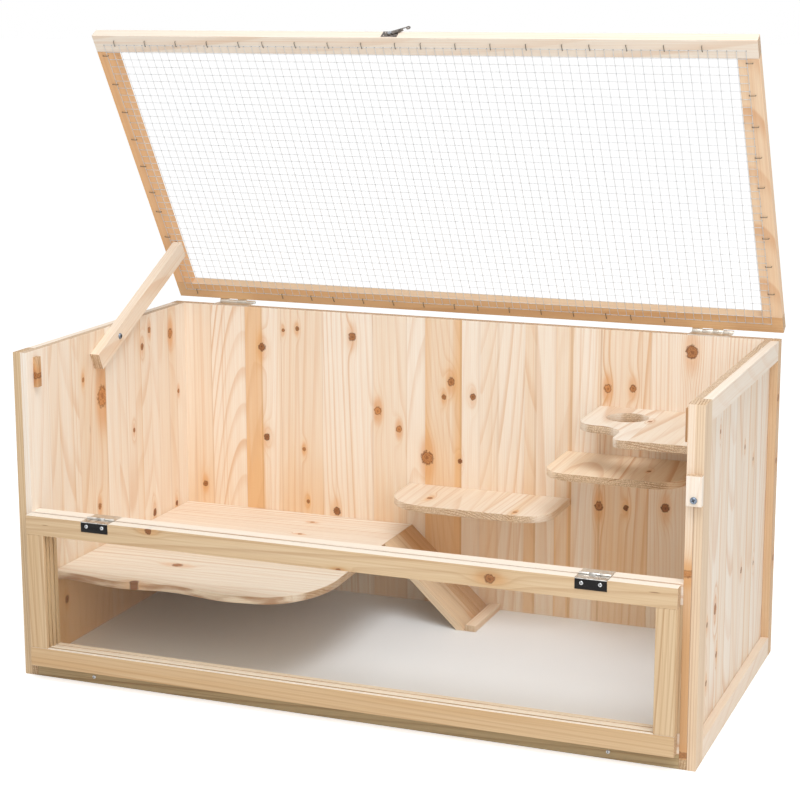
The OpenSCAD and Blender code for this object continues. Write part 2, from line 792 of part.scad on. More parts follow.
// Leaves screwed to the top of the back panel, reaching back to two knuckles.
module back_hinge_leaves() {
  h = lid_hinge_len / 2;
  color([0.6, 0.57, 0.5]) for (s = [-1, 1]) translate([s * lid_hinge_x, 0, 0]) {
    difference() {
      union() {
        block(-h, h, y_wall, lid_axis_y - lid_knuckle_r - face_gap,
          case_h, case_h + lid_leaf_t);
        for (i = [1, 3]) block(-h + i * lid_quarter + face_gap / 2,
          -h + (i + 1) * lid_quarter - face_gap / 2, y_wall + 1, lid_axis_y - lid_pin_r - 0.3,
          case_h, case_h + lid_leaf_t);
      }
      for (e = [-1, 1]) translate([e * lid_hinge_len * 0.33, y_wall + back_t / 2, case_h - 1])
        cylinder(h = 3, r = 1.5, $fn = bore_n);
    }
    for (i = [1, 3]) translate([0, lid_axis_y, lid_axis_z])
      knuckle(-h + i * lid_quarter + face_gap / 2, lid_quarter - face_gap, lid_knuckle_r,
        lid_pin_r);
  }
}

// Pins of the lid hinges, fixed in the knuckles of the back leaves.
module lid_hinge_pins() {
  color([0.55, 0.55, 0.56]) for (s = [-1, 1])
    translate([s * lid_hinge_x - lid_hinge_len / 2 - 0.4, lid_axis_y, lid_axis_z])
      rotate([0, 90, 0]) cylinder(h = lid_hinge_len + 0.8, r = lid_pin_r, $fn = bore_n);
}

// Flat screws let into the back leaves, under the closed lid.
module back_hinge_screws() {
  color([0.6, 0.6, 0.62]) for (s = [-1, 1]) for (e = [-1, 1])
    translate([s * lid_hinge_x + e * lid_hinge_len * 0.33, y_wall + back_t / 2, case_h])
      cylinder(h = lid_leaf_t, r = 1.4, $fn = bore_n);
}

// Leaves screwed to the rear edge of the lid, reaching down to the other two knuckles.
module lid_hinge_leaves() {
  h = lid_hinge_len / 2;
  color([0.6, 0.57, 0.5]) on_lid() for (s = [-1, 1]) translate([s * lid_hinge_x, 0, 0]) {
    difference() {
      union() {
        block(-h, h, lid_back, lid_back + lid_leaf_t, lid_z + lid_leaf_lift,
          lid_z + lid_leaf_lift + lid_leaf_h);
        for (i = [0, 2]) {
          block(-h + i * lid_quarter + face_gap / 2, -h + (i + 1) * lid_quarter - face_gap / 2,
            lid_back, lid_back + lid_leaf_t, lid_axis_z, lid_z + lid_leaf_lift + 1);
          block(-h + i * lid_quarter + face_gap / 2, -h + (i + 1) * lid_quarter - face_gap / 2,
            lid_back, lid_axis_y - lid_pin_r - turn_gap - 0.3,
            lid_axis_z, lid_axis_z + lid_knuckle_r);
        }
      }
      for (e = [-1, 1]) translate([e * lid_hinge_len * 0.33, lid_back - 1, lid_z + lid_t / 2])
        rotate([-90, 0, 0]) cylinder(h = 3, r = 1.5, $fn = bore_n);
    }
    for (i = [0, 2]) translate([0, lid_axis_y, lid_axis_z])
      knuckle(-h + i * lid_quarter + face_gap / 2, lid_quarter - face_gap, lid_knuckle_r,
        lid_pin_r + turn_gap);
  }
}

// Flat screws let into the lid leaves.
module lid_hinge_screws() {
  color([0.6, 0.6, 0.62]) on_lid() for (s = [-1, 1]) for (e = [-1, 1])
    translate([s * lid_hinge_x + e * lid_hinge_len * 0.33, lid_back, lid_z + lid_t / 2])
      rotate([-90, 0, 0]) cylinder(h = lid_leaf_t, r = 1.4, $fn = bore_n);
}

// ---- latch on the lid's front edge ----

// Base plate with two small screw heads.
module latch_plate() {
  color([0.2, 0.19, 0.18]) on_lid() {
    block(latch_x - latch_plate_w / 2, latch_x + latch_plate_w / 2,
      y_front - latch_plate_t, y_front, latch_z - latch_plate_h / 2, latch_z + latch_plate_h / 2);
    for (z = [-3.6, 3.6]) translate([latch_x - latch_plate_w / 2 + 3.2, y_front - latch_plate_t,
      latch_z + z]) head_front(1.9, 0.9);
  }
}

// Rivet that the swing hook turns on.
module latch_rivet() {
  color([0.5, 0.49, 0.47]) on_lid() translate([latch_x, y_front - latch_plate_t, latch_z])
    rotate([90, 0, 0]) {
      cylinder(h = 2 * face_gap + hook_t, r = 1.6, $fn = bore_n);
      translate([0, 0, 2 * face_gap + hook_t]) cylinder(h = 0.9, r = 3, $fn = bore_n);
    }
}

// Flat tapered hook with a notch for the peg and a finger ring at its end.
module latch_hook() {
  ring_r = 3.6;
  color([0.3, 0.29, 0.28]) on_lid() translate([latch_x, hook_y + hook_t, latch_z])
    rotate([0, -hook_rise, 0]) rotate([90, 0, 0]) linear_extrude(height = hook_t) difference() {
      union() {
        hull() {
          circle(d = hook_w, $fn = bore_n);
          translate([hook_reach, 0]) circle(d = hook_w - 1.4, $fn = bore_n);
        }
        translate([hook_reach + ring_r + 1.6, 0]) circle(r = ring_r, $fn = bore_n);
      }
      circle(r = 1.6 + turn_gap, $fn = bore_n);
      translate([hook_reach + ring_r + 1.6, 0]) circle(r = 1.7, $fn = bore_n);
      translate([hook_reach - peg_r - 0.6, -hook_w])
        square([2 * peg_r + 1.2, hook_w + peg_r + turn_gap]);
    }
}

// ---- prop strut ----

// Places parts drawn along the strut, its screw at the origin and its arm along +Y.
module on_prop() {
  translate([prop_x, prop_sy, prop_sz]) rotate([prop_angle, 0, 0]) children();
}

// Wooden strut: its upper front corner bears on the mesh under the lid's left member.
module prop_strut() {
  color([0.9, 0.76, 0.56]) on_prop() difference() {
    translate([0, -prop_tail, -prop_w / 2]) cube([prop_t, prop_tail + prop_arm, prop_w]);
    translate([-1, 0, 0]) rotate([0, 90, 0])
      cylinder(h = prop_t + 2, r = shank_r + turn_gap, $fn = bore_n);
  }
}

// Screw through the strut, its washer head on the strut's inner face.
module prop_screw() {
  color([0.75, 0.75, 0.74]) on_prop() {
    translate([prop_t, 0, 0]) rotate([0, 0, 90]) head_front(pivot_head_r, 2.4);
    rotate([0, 90, 0]) cylinder(h = prop_t, r = shank_r, $fn = bore_n);
  }
}

// ---- turn button on the right front edge ----

module turn_button() {
  color([0.92, 0.84, 0.7]) translate([button_x, y_front - face_gap, button_z]) difference() {
    translate([-button_w / 2, -button_t, -button_tail])
      cube([button_w, button_t, button_len]);
    translate([0, 1, 0]) rotate([90, 0, 0])
      cylinder(h = button_t + 2, r = shank_r + turn_gap, $fn = bore_n);
  }
}

// Screw that the button turns on, sunk into the side wall.
module button_screw() {
  color([0.75, 0.75, 0.74]) translate([button_x, y_front, button_z]) {
    translate([0, -button_t - 2 * face_gap, 0]) head_front(pivot_head_r, 2);
    translate([0, 14, 0]) rotate([90, 0, 0])
      cylinder(h = 14 + button_t + 2 * face_gap, r = shank_r, $fn = bore_n);
  }
}

left_frame_rails();
left_frame_stiles();
left_boards();
left_sill();
right_frame_rails();
right_frame_stiles();
right_boards();
right_sill();
back_panel();
floor_board();
floor_bearers();
base_rail();
window_rails();
window_stiles();
window_pane();
stop_blocks();
platform();
platform_battens();
ramp();
ramp_foot();
shelf_low();
shelf_mid();
shelf_top();
case_screws();
bar_hinge_leaves();
flap_hinge_pins();
bar_hinge_screws();
back_hinge_leaves();
lid_hinge_pins();
back_hinge_screws();
flap_rails();
flap_stiles();
flap_pane();
flap_hinge_leaves();
flap_hinge_screws();
latch_peg();
lid_rails();
lid_stiles();
mesh_long_wires();
mesh_cross_wires();
mesh_staples();
lid_hinge_leaves();
lid_hinge_screws();
latch_plate();
latch_rivet();
latch_hook();
prop_strut();
prop_screw();
turn_button();
button_screw();
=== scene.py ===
import json
import math

import bmesh
import bpy
from mathutils import Matrix, Vector


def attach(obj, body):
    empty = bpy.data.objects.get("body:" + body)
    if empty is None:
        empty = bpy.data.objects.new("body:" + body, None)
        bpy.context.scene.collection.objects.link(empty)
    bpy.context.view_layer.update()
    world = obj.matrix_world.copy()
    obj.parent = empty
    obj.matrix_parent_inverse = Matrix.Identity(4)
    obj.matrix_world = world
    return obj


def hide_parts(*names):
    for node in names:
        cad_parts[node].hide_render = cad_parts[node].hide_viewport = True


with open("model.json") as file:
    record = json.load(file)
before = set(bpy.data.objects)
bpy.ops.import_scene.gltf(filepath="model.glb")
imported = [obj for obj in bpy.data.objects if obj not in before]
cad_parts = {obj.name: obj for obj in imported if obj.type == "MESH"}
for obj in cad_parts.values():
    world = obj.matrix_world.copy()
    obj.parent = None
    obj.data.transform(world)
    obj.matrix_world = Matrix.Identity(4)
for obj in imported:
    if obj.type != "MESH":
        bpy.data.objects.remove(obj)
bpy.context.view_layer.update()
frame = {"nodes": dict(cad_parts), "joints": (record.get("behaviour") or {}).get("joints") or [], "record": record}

NODES = frame["nodes"]
BODY_OF = {n: b for b, names in frame["record"]["behaviour"]["bodies"].items() for n in names}
JOINTS = {j["name"]: j for j in frame["joints"]}

X, Y, Z = Vector((1, 0, 0)), Vector((0, 1, 0)), Vector((0, 0, 1))

# The lid stands open about its hinge; the strut leans under it.
LID_OPEN = math.radians(58.8)
LID_AXIS = Vector(JOINTS["lid_hinge"]["pos_m"])
OPEN_LID = (
    Matrix.Translation(LID_AXIS)
    @ Matrix.Rotation(-LID_OPEN, 4, "X")
    @ Matrix.Translation(-LID_AXIS)
)
SHUT_LID = OPEN_LID.inverted()
ALONG_LID = OPEN_LID.to_3x3() @ Y
PROP_LEAN = Matrix.Rotation(math.radians(26.8), 3, "X")
ALONG_PROP, ACROSS_PROP = PROP_LEAN @ Y, PROP_LEAN @ Z


def placed(name, data):
    """A new object in the scene."""
    obj = bpy.data.objects.new(name, data)
    bpy.context.scene.collection.objects.link(obj)
    return obj


# ---------------- camera

def add_camera():
    """Camera in front of the right-hand corner, looking slightly down."""
    yaw, pitch, roll = 0.38322, 0.19270, -0.00345
    ahead = Vector((-math.sin(yaw), math.cos(yaw), 0))
    side = Vector((math.cos(yaw), math.sin(yaw), 0))
    look = ahead * math.cos(pitch) - Z * math.sin(pitch)
    up = Z * math.cos(pitch) + ahead * math.sin(pitch)
    right = side * math.cos(roll) + up * math.sin(roll)
    up = up * math.cos(roll) - side * math.sin(roll)
    data = bpy.data.cameras.new("camera")
    data.lens = 87.63
    data.sensor_width = 36
    data.shift_x = 0.0126
    data.shift_y = -0.0437
    data.clip_start, data.clip_end = 0.05, 100
    camera = placed("camera", data)
    turn = Matrix((right, up, -look)).transposed().to_4x4()
    camera.matrix_world = Matrix.Translation((1.01743, -2.57380, 0.99191)) @ turn
    bpy.context.scene.camera = camera


add_camera()


# ---------------- node trees

class Value:
    """An output in a node tree; sums and comparisons with it add the math nodes for them."""

    def __init__(self, tree, socket):
        self.tree, self.socket = tree, socket

    def __add__(self, other):
        return self.tree.math("ADD", self, other)

    def __sub__(self, other):
        return self.tree.math("SUBTRACT", self, other)

    def __rsub__(self, other):
        return self.tree.math("SUBTRACT", other, self)

    def __mul__(self, other):
        return self.tree.math("MULTIPLY", self, other)

    def __truediv__(self, other):
        return self.tree.math("DIVIDE", self, other)

    def __lt__(self, other):
        return self.tree.math("LESS_THAN", self, other)

    def __gt__(self, other):
        return self.tree.math("GREATER_THAN", self, other)

    def __abs__(self):
        return self.tree.math("ABSOLUTE", self)


class Tree:
    """Adds nodes to a node tree and links them."""

    def __init__(self, tree):
        self.tree = tree

    def node(self, kind, **settings):
        made = self.tree.nodes.new(kind)
        for name, value in settings.items():
            setattr(made, name, value)
        return made

    def put(self, value, socket):
        """Links an output to an input, or sets the input to a plain value."""
        if isinstance(value, Value):
            value = value.socket
        if isinstance(value, bpy.types.NodeSocket):
            self.tree.links.new(value, socket)
        else:
            socket.default_value = value

    def fill(self, node, **values):
        """Gives a node its inputs by name."""
        for name, value in values.items():
            self.put(value, node.inputs[name.replace("_", " ")])
        return node

    def out(self, node, key=0):
        return Value(self, node.outputs[key])

    def feed(self, node, *values):
        """Gives a node its first inputs in order; returns its first output."""
        for value, socket in zip(values, node.inputs):
            self.put(value, socket)
        return self.out(node)

    def math(self, operation, *values, clamp=False):
        made = self.node("ShaderNodeMath", operation=operation, use_clamp=clamp)
        return self.feed(made, *values)

    def mul_add(self, a, b, c):
        return self.math("MULTIPLY_ADD", a, b, c)

    def dot(self, a, direction):
        made = self.node("ShaderNodeVectorMath", operation="DOT_PRODUCT")
        self.feed(made, a, tuple(direction))
        return self.out(made, 1)

    def combine(self, x, y, z):
        return self.feed(self.node("ShaderNodeCombineXYZ"), x, y, z)

    def split(self, vector):
        made = self.node("ShaderNodeSeparateXYZ")
        self.feed(made, vector)
        return [Value(self, s) for s in made.outputs]

    def noise(self, vector, scale, detail=2.0, rough=0.5):
        made = self.node("ShaderNodeTexNoise")
        self.fill(made, Vector=vector, Scale=scale, Detail=detail, Roughness=rough)
        return self.out(made, "Fac")

    def random(self, value):
        """Three random numbers for each value of a number."""
        made = self.node("ShaderNodeTexWhiteNoise", noise_dimensions="1D")
        self.fill(made, W=value)
        return self.split(made.outputs["Color"])

    def span(self, value, low, high, to_low=0.0, to_high=1.0, smooth=True):
        made = self.node("ShaderNodeMapRange", clamp=True,
                         interpolation_type="SMOOTHSTEP" if smooth else "LINEAR")
        return self.feed(made, value, low, high, to_low, to_high)

    def mix(self, amount, a, b):
        made = self.node("ShaderNodeMix", data_type="RGBA")
        self.fill(made, Factor=amount, A=a, B=b)
        return self.out(made, "Result")

    def either(self, amount, a, b):
        """The first shader where the amount is 0, the second where it is 1."""
        return self.feed(self.node("ShaderNodeMixShader"), amount, a, b)

    def bump(self, height, strength, distance):
        made = self.node("ShaderNodeBump")
        self.fill(made, Strength=strength, Distance=distance, Height=height)
        return self.out(made)

    def group(self, tree, **values):
        """A node group with its inputs by name; returns its outputs in order."""
        made = self.fill(self.node("ShaderNodeGroup", node_tree=tree), **values)
        return [Value(self, s) for s in made.outputs]

    def inputs_of_group(self):
        return {s.name: Value(self, s) for s in self.node("NodeGroupInput").outputs}


# what the sockets of a shader group hold, where it is not a plain number
SOCKET_KINDS = {"Place": "Vector", "Pale": "Color", "Tan": "Color", "Orange": "Color",
                "Late": "Color", "Color": "Color"}


def new_group(name, inputs, outputs):
    """A shader node group with named sockets; returns its tree helper, inputs and end node."""
    tree = bpy.data.node_groups.new(name, "ShaderNodeTree")
    for side, labels in (("INPUT", inputs), ("OUTPUT", outputs)):
        for label in labels:
            kind = SOCKET_KINDS.get(label, "Float")
            tree.interface.new_socket(label, in_out=side, socket_type="NodeSocket" + kind)
    t = Tree(tree)
    return t, t.inputs_of_group(), t.node("NodeGroupOutput")


def rgb(red, green, blue):
    """A colour written as 0 to 255 screen values, as the linear colour a shader wants."""
    def linear(v):
        v /= 255
        return v / 12.92 if v <= 0.04045 else ((v + 0.055) / 1.055) ** 2.4
    return (linear(red), linear(green), linear(blue), 1.0)


def new_material(name):
    """An empty material with one Principled shader; returns the material, helper and shader."""
    made = bpy.data.materials.new(name)
    made.use_nodes = True
    made.node_tree.nodes.clear()
    t = Tree(made.node_tree)
    shader = t.node("ShaderNodeBsdfPrincipled")
    t.surface = t.node("ShaderNodeOutputMaterial").inputs["Surface"]
    t.put(shader.outputs[0], t.surface)
    return made, t, shader


# ---------------- softwood

FAR = 9.0  # farther than any knot reaches or any joint lies
RING_SPACING = 0.0028  # metres, before each stave's own share
MEMBER_WIDTH = 0.0544  # width over which the growth rings of a solid member spread


def knot_group():
    """Nearest knot so far: its distance in knot radii, a longer reach along the grain, its shade.

    A knot cut through by a glue joint ends there.
    """
    t, given, end = new_group(
        "nearest_knot",
        ("Place", "Along", "Across", "Radius", "Shade", "Cut At", "Distance", "Flow",
         "Shade Before"),
        ("Distance", "Flow", "Shade"))
    along, across, _ = t.split(given["Place"])
    a = (along - given["Along"]) / given["Radius"]
    b = (across - given["Across"]) / given["Radius"]
    aa, bb = a * a, b * b
    gone = (across > given["Cut At"]) * FAR
    reach = t.math("SQRT", t.mul_add(aa, 0.8, bb)) + gone
    flow = t.math("SQRT", t.mul_add(aa, 0.14, bb)) + gone
    nearer = reach < given["Distance"]
    kept = (1.0 - nearer) * given["Shade Before"]
    t.fill(end, Distance=t.math("MINIMUM", reach, given["Distance"]),
           Flow=t.math("MINIMUM", flow, given["Flow"]),
           Shade=t.mul_add(nearer, given["Shade"], kept))
    return t.tree


def even_staves_group():
    """Glued staves of slightly uneven width: number, metres from the middle, width and tone."""
    t, given, end = new_group(
        "even_staves", ("Across", "Width", "Seed", "Tone", "Spread"),
        ("Stave", "Within", "Width", "Tone"))
    turns = given["Across"] / given["Width"]
    wander = t.noise(t.combine(turns, given["Seed"] + 7.3, 0.0), 0.55, 0.0)
    turns = turns + (wander - 0.5) * 1.3
    number = t.math("FLOOR", turns + 0.5)
    stave = number + given["Seed"] * 13.7
    chance = t.random(stave + 31.7)[1]
    t.fill(end, Stave=stave, Within=(turns - number) * given["Width"], Width=given["Width"],
           Tone=t.mul_add(chance - 0.5, given["Spread"], given["Tone"]))
    return t.tree


def growth_rings(t, given, pick, pick_b):
    """How far a place is dark late wood, and how near it is to a knot.

    Rings lie about the stave's pith, which leans a little along the board. Most staves lie
    well beside their pith and show straight lines, the others show pointed arches.
    """
    along, across, depth = t.split(given["Place"])
    aside = pick[0] - 0.5
    straight = pick_b[2] > 0.25
    aside = t.mul_add(t.math("SIGN", aside) * straight, 0.8, aside * 1.2)
    pith_depth = t.mul_add(pick[1] * pick[1], 0.03, 0.010)
    lean = (pick[2] - 0.5) * 0.06
    slow = t.noise(t.combine(along * 3.0, across * 13.0, given["Stave"]), 1.0, 2.0)
    side = given["Within"] - aside * given["Width"] + (slow - 0.5) * 0.006
    down = depth + pith_depth + along * lean
    rings = t.math("SQRT", side * side + down * down)

    # the grain runs round the knots
    near = t.math("EXPONENT", given["Flow"] * given["Flow"] * -0.30)
    count = (rings + near * 0.0045) / (t.mul_add(pick_b[0], 0.9, 0.6) * RING_SPACING)
    phase = t.math("FRACT", count)
    year = t.random(t.math("FLOOR", count) + given["Stave"] * 4.3)
    late = t.span(phase, 0.50, 0.90) * t.span(phase, 1.0, 0.92)
    return late * t.mul_add(year[0], 0.9, 0.35), near


def spots(t, given, along_rate, across_rate, small, large, chance_of):
    """Small marks, so many to a metre along the grain and across it."""
    along, across, _ = t.split(given["Place"])
    cells = t.node("ShaderNodeTexVoronoi", voronoi_dimensions="3D", feature="F1")
    t.fill(cells, Vector=t.combine(along * along_rate, across * across_rate, given["Stave"]),
           Scale=1.0)
    chance = t.split(cells.outputs["Color"])
    size = t.mul_add(chance[1], large - small, small)
    return t.span(t.out(cells, "Distance"), size, size * 0.4) * (chance[0] < chance_of)


def knot_eye(t, ragged, shade):
    """Wood inside a knot: ringed, with a darker heart and a dark rim."""
    eye = t.mix(shade, rgb(222, 158, 98), rgb(150, 92, 52))
    dark = t.mix(shade, rgb(186, 118, 66), rgb(92, 54, 32))
    eye = t.mix(t.span(t.math("FRACT", ragged * 3.4), 0.35, 0.9), eye, dark)
    eye = t.mix(t.span(ragged, 0.42, 0.15), eye, dark)
    rim = t.span(ragged, 0.72, 0.92) * t.mul_add(shade, 0.4, 0.5)
    return t.mix(rim, eye, rgb(98, 58, 34))


def softwood_group():
    """Planed softwood: growth rings cut lengthways, fibres, streaks, knots and cut ends.

    Place holds metres along the grain, across it, and into the board.
    """
    t, given, end = new_group(
        "softwood",
        ("Place", "Stave", "Within", "Width", "Tone", "Lines", "Knot", "Flow", "Knot Shade",
         "Pin Knots", "End Grain", "Edge Stain", "Seams", "Pale", "Tan", "Orange", "Late"),
        ("Color", "Roughness", "Height"))
    place, stave, width = given["Place"], given["Stave"], given["Width"]
    along, across, depth = t.split(place)
    off_middle = abs(given["Within"])
    # six random numbers for each stave
    pick, pick_b = t.random(stave), t.random(t.mul_add(stave, 1.7, 91.3))
    late, near = growth_rings(t, given, pick, pick_b)

    # long fibres, hairlines and broad streaks
    fibre = t.noise(t.combine(along * 9.0, across * 800.0, depth * 800.0), 1.0, 2.0, 0.6)
    hair = t.noise(t.combine(along * 1.3, across * 300.0, t.mul_add(depth, 300.0, stave)),
                   1.0, 1.0)
    streak = t.noise(t.combine(along * 1.1, across * 70.0, stave), 1.0, 3.0, 0.6)

    # from pale sapwood to tan and orange heartwood; some staves are orange along their sides
    tone = given["Tone"] + (streak - 0.5) * 0.55
    flank = t.span(off_middle / width, 0.24, 0.5) * t.span(pick[1], 0.6, 0.8, 0.0, 0.35)
    tone = t.math("ADD", tone + flank, near * 0.38, clamp=True)
    colour = t.mix(t.span(tone, 0.0, 0.55, smooth=False), given["Pale"], given["Tan"])
    colour = t.mix(t.span(tone, 0.5, 1.0, smooth=False), colour, given["Orange"])
    strength = given["Lines"] * t.mul_add(pick_b[1], 1.0, 0.45)
    ring_mark = t.math("MULTIPLY", late, strength, clamp=True)
    hair_mark = t.math("MULTIPLY", t.span(hair, 0.60, 0.74), strength * 0.75, clamp=True)
    for mark in (ring_mark, hair_mark, t.span(fibre, 0.25, 0.75, 0.20, 0.0)):
        colour = t.mix(mark, colour, given["Late"])

    # thin glue joints, mostly told by the change of tone
    joint = t.span(width * 0.5 - off_middle, 0.0009, 0.0001) * given["Seams"]
    colour = t.mix(joint * t.mul_add(pick[1], 0.26, 0.04), colour, rgb(176, 124, 78))

    # short dark pitch dashes and small round pin knots
    dash = spots(t, given, 9.0, 90.0, 0.05, 0.12, given["Pin Knots"] * 0.3)
    pin = spots(t, given, 7.0, 15.0, 0.014, 0.034, given["Pin Knots"])
    colour = t.mix(dash * 0.6, colour, rgb(122, 78, 44))
    colour = t.mix(pin * 0.8, colour, rgb(120, 78, 46))

    # knots with a warm halo and a ragged edge
    shade = given["Knot Shade"]
    warmth = t.span(given["Flow"], 2.0, 0.8) * t.span(shade, 0.0, 1.0, 0.5, 0.22)
    colour = t.mix(warmth, colour, rgb(222, 156, 98))
    ragged = t.mul_add(t.noise(place, 210.0, 3.0, 0.65) - 0.5, 1.25, given["Knot"])
    inside = t.span(ragged, 1.22, 0.86)
    colour = t.mix(inside * 0.94, colour, knot_eye(t, ragged, shade))

    # brown bark stains along sawn edges
    stain = t.noise(t.combine(along * 14.0, across * 30.0, depth * 60.0), 1.0, 2.0)
    colour = t.mix(t.span(stain, 0.38, 0.62) * given["Edge Stain"], colour, rgb(168, 118, 76))

    # cut ends are darker, ringed and speckled
    speck = t.noise(place, 700.0, 3.0, 0.75)
    ends = t.mix(t.span(speck, 0.36, 0.64), rgb(168, 128, 88), rgb(236, 212, 178))
    ends = t.mix(t.math("MULTIPLY", late, 0.9, clamp=True), ends, rgb(150, 100, 60))
    colour = t.mix(given["End Grain"] * 0.8, colour, ends)

    height = t.mul_add(fibre, 0.5, late * 0.35) - inside * 0.5 - joint * 0.25
    t.fill(end, Color=colour, Roughness=t.mul_add(fibre, 0.14, 0.55) - late * 0.06,
           Height=height - speck * given["End Grain"] * 0.8)
    return t.tree


NEAREST_KNOT = knot_group()
EVEN_STAVES = even_staves_group()
SOFTWOOD = softwood_group()


# A layout gives, for a place across the grain, the number of its stave or member, the metres
# from the middle of that, its width and its tone.

def even_staves(width, seed, tone, spread):
    """Layout of a glued board: even staves, their tone spread about a middle one."""
    def lay(t, across):
        return t.group(EVEN_STAVES, Across=across, Width=width, Seed=seed, Tone=tone,
                       Spread=spread)
    return lay


def laid_staves(edges, tones, seed=0.0):
    """Layout of a glued board whose stave joints and tones are given one by one."""
    low, wide = edges[0], edges[-1] - edges[0]
    numbers = 32  # a stave's number is kept as a share of this

    def lay(t, across):
        made = t.node("ShaderNodeValToRGB")
        ramp = made.color_ramp
        ramp.interpolation = "CONSTANT"
        while len(ramp.elements) < len(tones):
            ramp.elements.new(1.0)
        for i, (left, right, tone) in enumerate(zip(edges, edges[1:], tones)):
            ramp.elements[i].position = (left - low) / wide
            ramp.elements[i].color = (
                (i + 0.5) / numbers, ((left + right) / 2 - low) / wide, tone, right - left)
        t.feed(made, (across - low) / wide)
        number, middle, tone = t.split(made.outputs["Color"])
        stave = t.math("FLOOR", number * float(numbers)) + seed
        return stave, across - t.mul_add(middle, wide, low), t.out(made, "Alpha"), tone
    return lay


def members(seed, *centres_and_tones):
    """Layout of separate solid members side by side: middle and tone of each."""
    def lay(t, across):
        (centre, tone), *others = centres_and_tones
        stave, within = float(seed), across - centre
        for i, (centre, level) in enumerate(others, 1):
            offset = across - centre
            nearer = abs(offset) < abs(within)
            away = 1.0 - nearer
            stave = nearer * (seed + 3.3 * i) + away * stave
            tone = nearer * level + away * tone
            within = nearer * offset + away * within
        return stave, within, MEMBER_WIDTH, tone
    return lay


def four_hues(pale, tan, orange, late):
    """The four hues of one kind of wood."""
    return {"Pale": rgb(*pale), "Tan": rgb(*tan), "Orange": rgb(*orange), "Late": rgb(*late)}


CREAM = four_hues((252, 243, 230), (244, 224, 200), (236, 194, 146), (220, 170, 120))
PLAIN = four_hues((247, 238, 224), (240, 222, 199), (228, 188, 142), (206, 156, 108))
WARM = four_hues((252, 232, 206), (250, 212, 170), (242, 190, 136), (214, 148, 90))
HONEY = four_hues((252, 238, 216), (248, 220, 186), (238, 192, 142), (210, 154, 100))
FRONT = four_hues((234, 212, 178), (216, 184, 142), (206, 160, 108), (170, 122, 76))
BROWN = four_hues((238, 212, 178), (214, 172, 128), (190, 140, 94), (142, 94, 56))
TAWNY = four_hues((240, 218, 190), (228, 198, 162), (214, 174, 132), (186, 138, 94))
# greyed, darker hues for the sills and the base rail: partly the wood's own colour, partly painted shade low down
OLIVE_PAINTED_SHADE = four_hues((204, 184, 146), (182, 158, 118), (166, 134, 92), (140, 108, 70))


def wood(name, grain, across, layout, hues=CREAM, lines=0.55, knots=(), pins=0.12, stain=0.0,
         painted_low_shade=None, painted_top_light=None, seams=1.0):
    """Softwood with its grain along one direction.

    Knots are (along, across, radius, shade), and where a joint cuts one, the joint's place.
    lines is the strength of the ring lines, pins the share of small knots, and stain the
    strength of bark stains.

    Low down the wood may turn darker, as painted shade: two heights between which it does, by how
    much its tone and its colour change, and the direction of the faces that do so. The faces that
    look up may take another colour, a painted highlight where it is paler and painted shade where
    it is darker, for how the light falls on them: how far they take it, and that colour.
    """
    made, t, shader = new_material(name)
    into = grain.cross(across)
    where = t.node("ShaderNodeTexCoord").outputs
    spot, facing = where["Object"], where["Normal"]
    place = t.combine(*[t.dot(spot, v) for v in (grain, across, into)])
    distance, flow, shade = FAR, FAR, 0.0
    for along, aside, radius, dark, *cut in knots:
        distance, flow, shade = t.group(
            NEAREST_KNOT, Place=place, Along=along, Across=aside, Radius=radius, Shade=dark,
            Cut_At=cut[0] if cut else FAR, Distance=distance, Flow=flow, Shade_Before=shade)
    stave, within, width, tone = layout(t, t.split(place)[1])
    # painted shade low down: between two heights, on faces turned one way, the tone shifts
    if painted_low_shade:
        high, low, warmer, browner, faces = painted_low_shade
        toward = t.span(t.dot(facing, faces), 0.5, 0.9)
        low_shade_mask = toward * t.span(t.split(spot)[2], high, low)
        tone = t.mul_add(low_shade_mask, warmer, tone)
    edge = t.span(t.dot(facing, into), 0.5, 0.2, 0.0, stain) if stain else 0.0
    colour, rough, height = t.group(
        SOFTWOOD, Place=place, Stave=stave, Within=within, Width=width, Tone=tone, Lines=lines,
        Knot=distance, Flow=flow, Knot_Shade=shade, Pin_Knots=pins, Edge_Stain=edge,
        End_Grain=t.span(abs(t.dot(facing, grain)), 0.75, 0.95), Seams=seams, **hues)
    # painted shade low down: the colour turns toward a shaded brown
    if painted_low_shade:
        colour = t.mix(low_shade_mask * browner, colour, rgb(186, 138, 92))
    # painted highlight on paler tops and painted shade on darker ones: faces that look up take another colour for
    # how the light falls on them
    if painted_top_light:
        share, top_light_colour = painted_top_light
        colour = t.mix(t.span(t.split(facing)[2], 0.5, 0.9, 0.0, share), colour, top_light_colour)
    t.fill(shader, Base_Color=colour, Roughness=rough, Specular_IOR_Level=0.3,
           Normal=t.bump(height, 0.3, 0.0004))
    return made


# ---------------- other finishes

def metal(name, colour, rough, wear, metallic=1.0, grain=160.0, recess=False):
    """Metal with faint cloudy wear; a screw's cross recess is painted dark, painted shade in the hollow."""
    made, t, shader = new_material(name)
    where = t.node("ShaderNodeTexCoord").outputs["Object"]
    cloud = t.noise(where, grain, 3.0, 0.6)
    dark = tuple(c * wear for c in colour[:3]) + (1.0,)
    finish = t.mix(t.span(cloud, 0.3, 0.7), dark, colour)
    # painted shade in the cross recess of a screw
    if recess:
        marked = t.out(t.node("ShaderNodeAttribute", attribute_name="recess"), "Fac")
        finish = t.mix(marked * 0.85, finish, rgb(40, 38, 36))
    t.fill(shader, Base_Color=finish, Roughness=t.mul_add(cloud, 0.2, rough - 0.1),
           Metallic=metallic)
    return made


